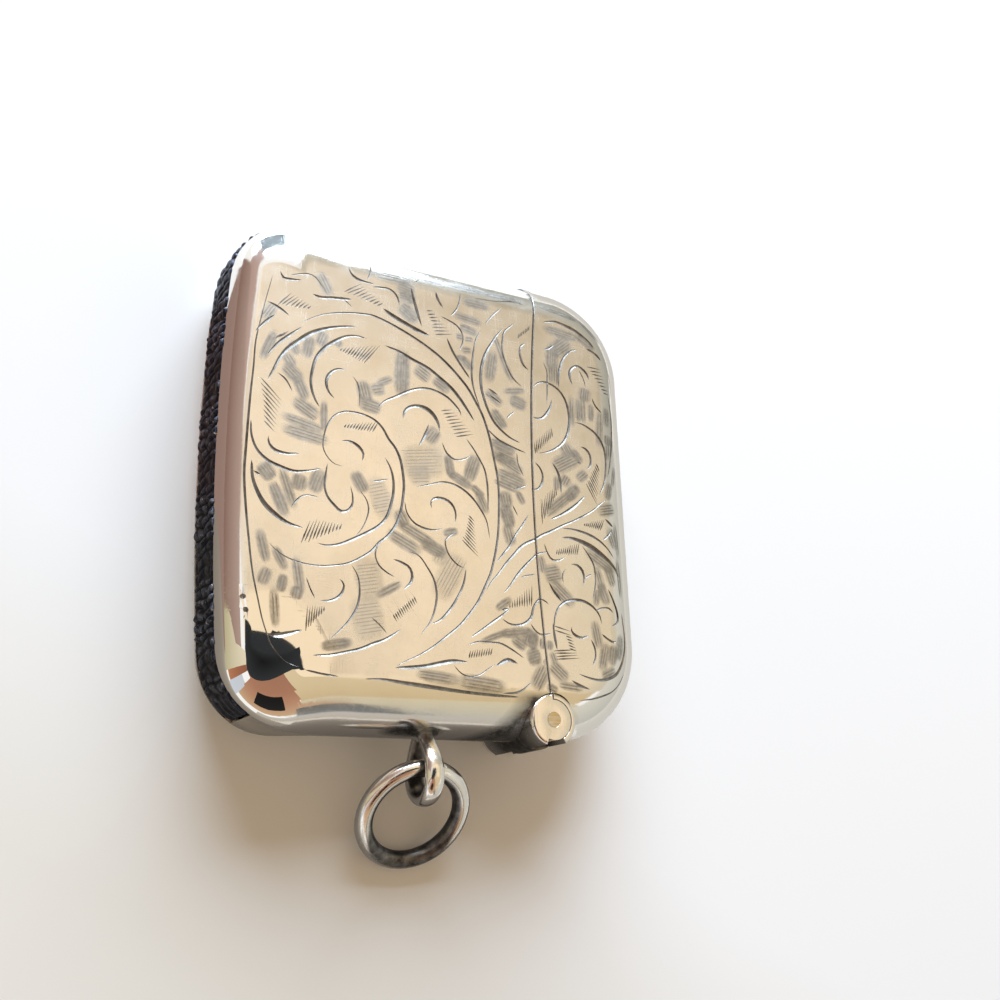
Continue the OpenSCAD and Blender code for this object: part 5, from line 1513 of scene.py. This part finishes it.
# Reflector cards: name, distance in millimetres, azimuth range from +x, elevation range, lower glow, upper glow.
CARDS = [
    ("card_face_lid", 600, (-14, 29), (38, 55), (0.6, 0.54, 0.41), (0.76, 0.65, 0.47)),
    ("card_face_low", 600, (29, 76), (36, 52), (0.44, 0.38, 0.28), (0.54, 0.44, 0.3)),
    ("card_face_middle", 602, (-14, 50), (52, 60), (0.8, 0.64, 0.45), (1.0, 0.8, 0.55)),
    ("card_face_left", 602, (50, 80), (52, 60), (0.68, 0.55, 0.41), (0.86, 0.7, 0.5)),
    ("card_face_glow", 596, (31, 46), (54, 63), (1.12, 0.9, 0.63), (1.26, 1.02, 0.73)),
    ("card_face_high", 600, (-14, 92), (60, 90), (1.0, 0.8, 0.56), (1.0, 0.86, 0.64)),
    ("card_over", 600, (92, 146), (60, 90), (0.82, 0.68, 0.54), (1.0, 0.92, 0.75)),
    ("card_brown_far", 598, (108, 136), (28, 58), (0.44, 0.3, 0.26), (0.52, 0.37, 0.32)),
    ("card_shade", 600, (20, 68), (4, 37), (0.36, 0.36, 0.32), (0.52, 0.49, 0.41)),
    ("card_lid", 600, (-48, 20), (-2, 38), (0.52, 0.52, 0.49), (0.7, 0.68, 0.6)),
    ("card_brown", 600, (134, 173), (-3, 63), (0.24, 0.14, 0.11), (0.46, 0.34, 0.29)),
    ("card_cream", 600, (173, 200), (-3, 90), (0.5, 0.46, 0.28), (0.9, 0.8, 0.64)),
    ("card_warm", 600, (200, 210), (8, 62), (0.5, 0.22, 0.11), (0.3, 0.12, 0.07)),
    ("card_cool", 600, (210, 224), (-3, 50), (0.62, 0.68, 0.78), (0.6, 0.64, 0.7)),
    ("card_rust_low", 600, (224, 295), (18, 46), (0.6, 0.42, 0.26), (0.5, 0.27, 0.17)),
    ("card_rust_middle", 596, (222, 297), (46, 62), (0.5, 0.27, 0.17), (0.42, 0.21, 0.13)),
    ("card_rust_high", 598, (200, 302), (62, 90), (0.42, 0.21, 0.13), (0.36, 0.18, 0.12)),
    ("card_box", 590, (243, 277), (33, 58), (0.02, 0.02, 0.02), (0.014, 0.013, 0.013)),
    ("card_yellow_low", 600, (-70, -40), (12, 43), (0.56, 0.53, 0.46), (0.68, 0.6, 0.42)),
    ("card_yellow", 600, (-64, -14), (43, 90), (0.64, 0.5, 0.3), (0.78, 0.64, 0.42)),
    ("card_grey_low", 602, (-110, -40), (-12, 12), (0.46, 0.42, 0.37), (0.56, 0.53, 0.48)),
    ("card_slate", 594, (-72, -64.3), (12, 30), (0.19, 0.2, 0.21), (0.16, 0.16, 0.145)),
    ("card_dark_far", 594, (87, 109), (11, 37), (0.12, 0.15, 0.17), (0.06, 0.09, 0.1)),
]

# Sectors of floor that only reflections see, darker near the case as a painted shadow: name, azimuth range, glow near
# the case, glow far from it.
MATS = [
    ("mat_base", 143, 186, (0.3, 0.2, 0.17), (0.36, 0.25, 0.21)),
    ("mat_corner", 186, 262, (0.21, 0.18, 0.15), (0.58, 0.54, 0.46)),
    ("mat_lid", -52, 62, (0.58, 0.56, 0.52), (0.8, 0.78, 0.74)),
]

OPERATORS = (VESTA_OT_panels, VESTA_OT_striker, VESTA_OT_hinge, VESTA_OT_loop, VESTA_OT_lip, VESTA_OT_fittings,
             VESTA_OT_stage)


class VESTA_PT_case(bpy.types.Panel):
    """Sizes, colours and the pieces to make"""
    bl_idname = "VESTA_PT_case"
    bl_label = "Vesta Case"
    bl_space_type = "VIEW_3D"
    bl_region_type = "UI"
    bl_category = "Vesta Case"

    def draw(self, context):
        for group in (context.scene.vesta_sizes, context.scene.vesta_colours):
            column = self.layout.column()
            for name in type(group).__annotations__:
                column.prop(group, name)
        for operator in OPERATORS:
            self.layout.operator(operator.bl_idname)


CLASSES = (VestaSizes, VestaColours, *OPERATORS, VESTA_PT_case)


def register():
    """Registers the classes and gives the scene its sizes and colours."""
    for made in CLASSES:
        bpy.utils.register_class(made)
    bpy.types.Scene.vesta_sizes = bpy.props.PointerProperty(type=VestaSizes)
    bpy.types.Scene.vesta_colours = bpy.props.PointerProperty(type=VestaColours)


def unregister():
    """Takes the scene's sizes and colours and the classes out again."""
    del bpy.types.Scene.vesta_sizes
    del bpy.types.Scene.vesta_colours
    for made in reversed(CLASSES):
        bpy.utils.unregister_class(made)


def main():
    """Makes every piece in order."""
    register()
    bpy.ops.vesta.panels()
    bpy.ops.vesta.striker()
    bpy.ops.vesta.hinge()
    bpy.ops.vesta.loop()
    bpy.ops.vesta.lip()
    bpy.ops.vesta.fittings()
    bpy.ops.vesta.stage()


if __name__ == "__main__":
    main()
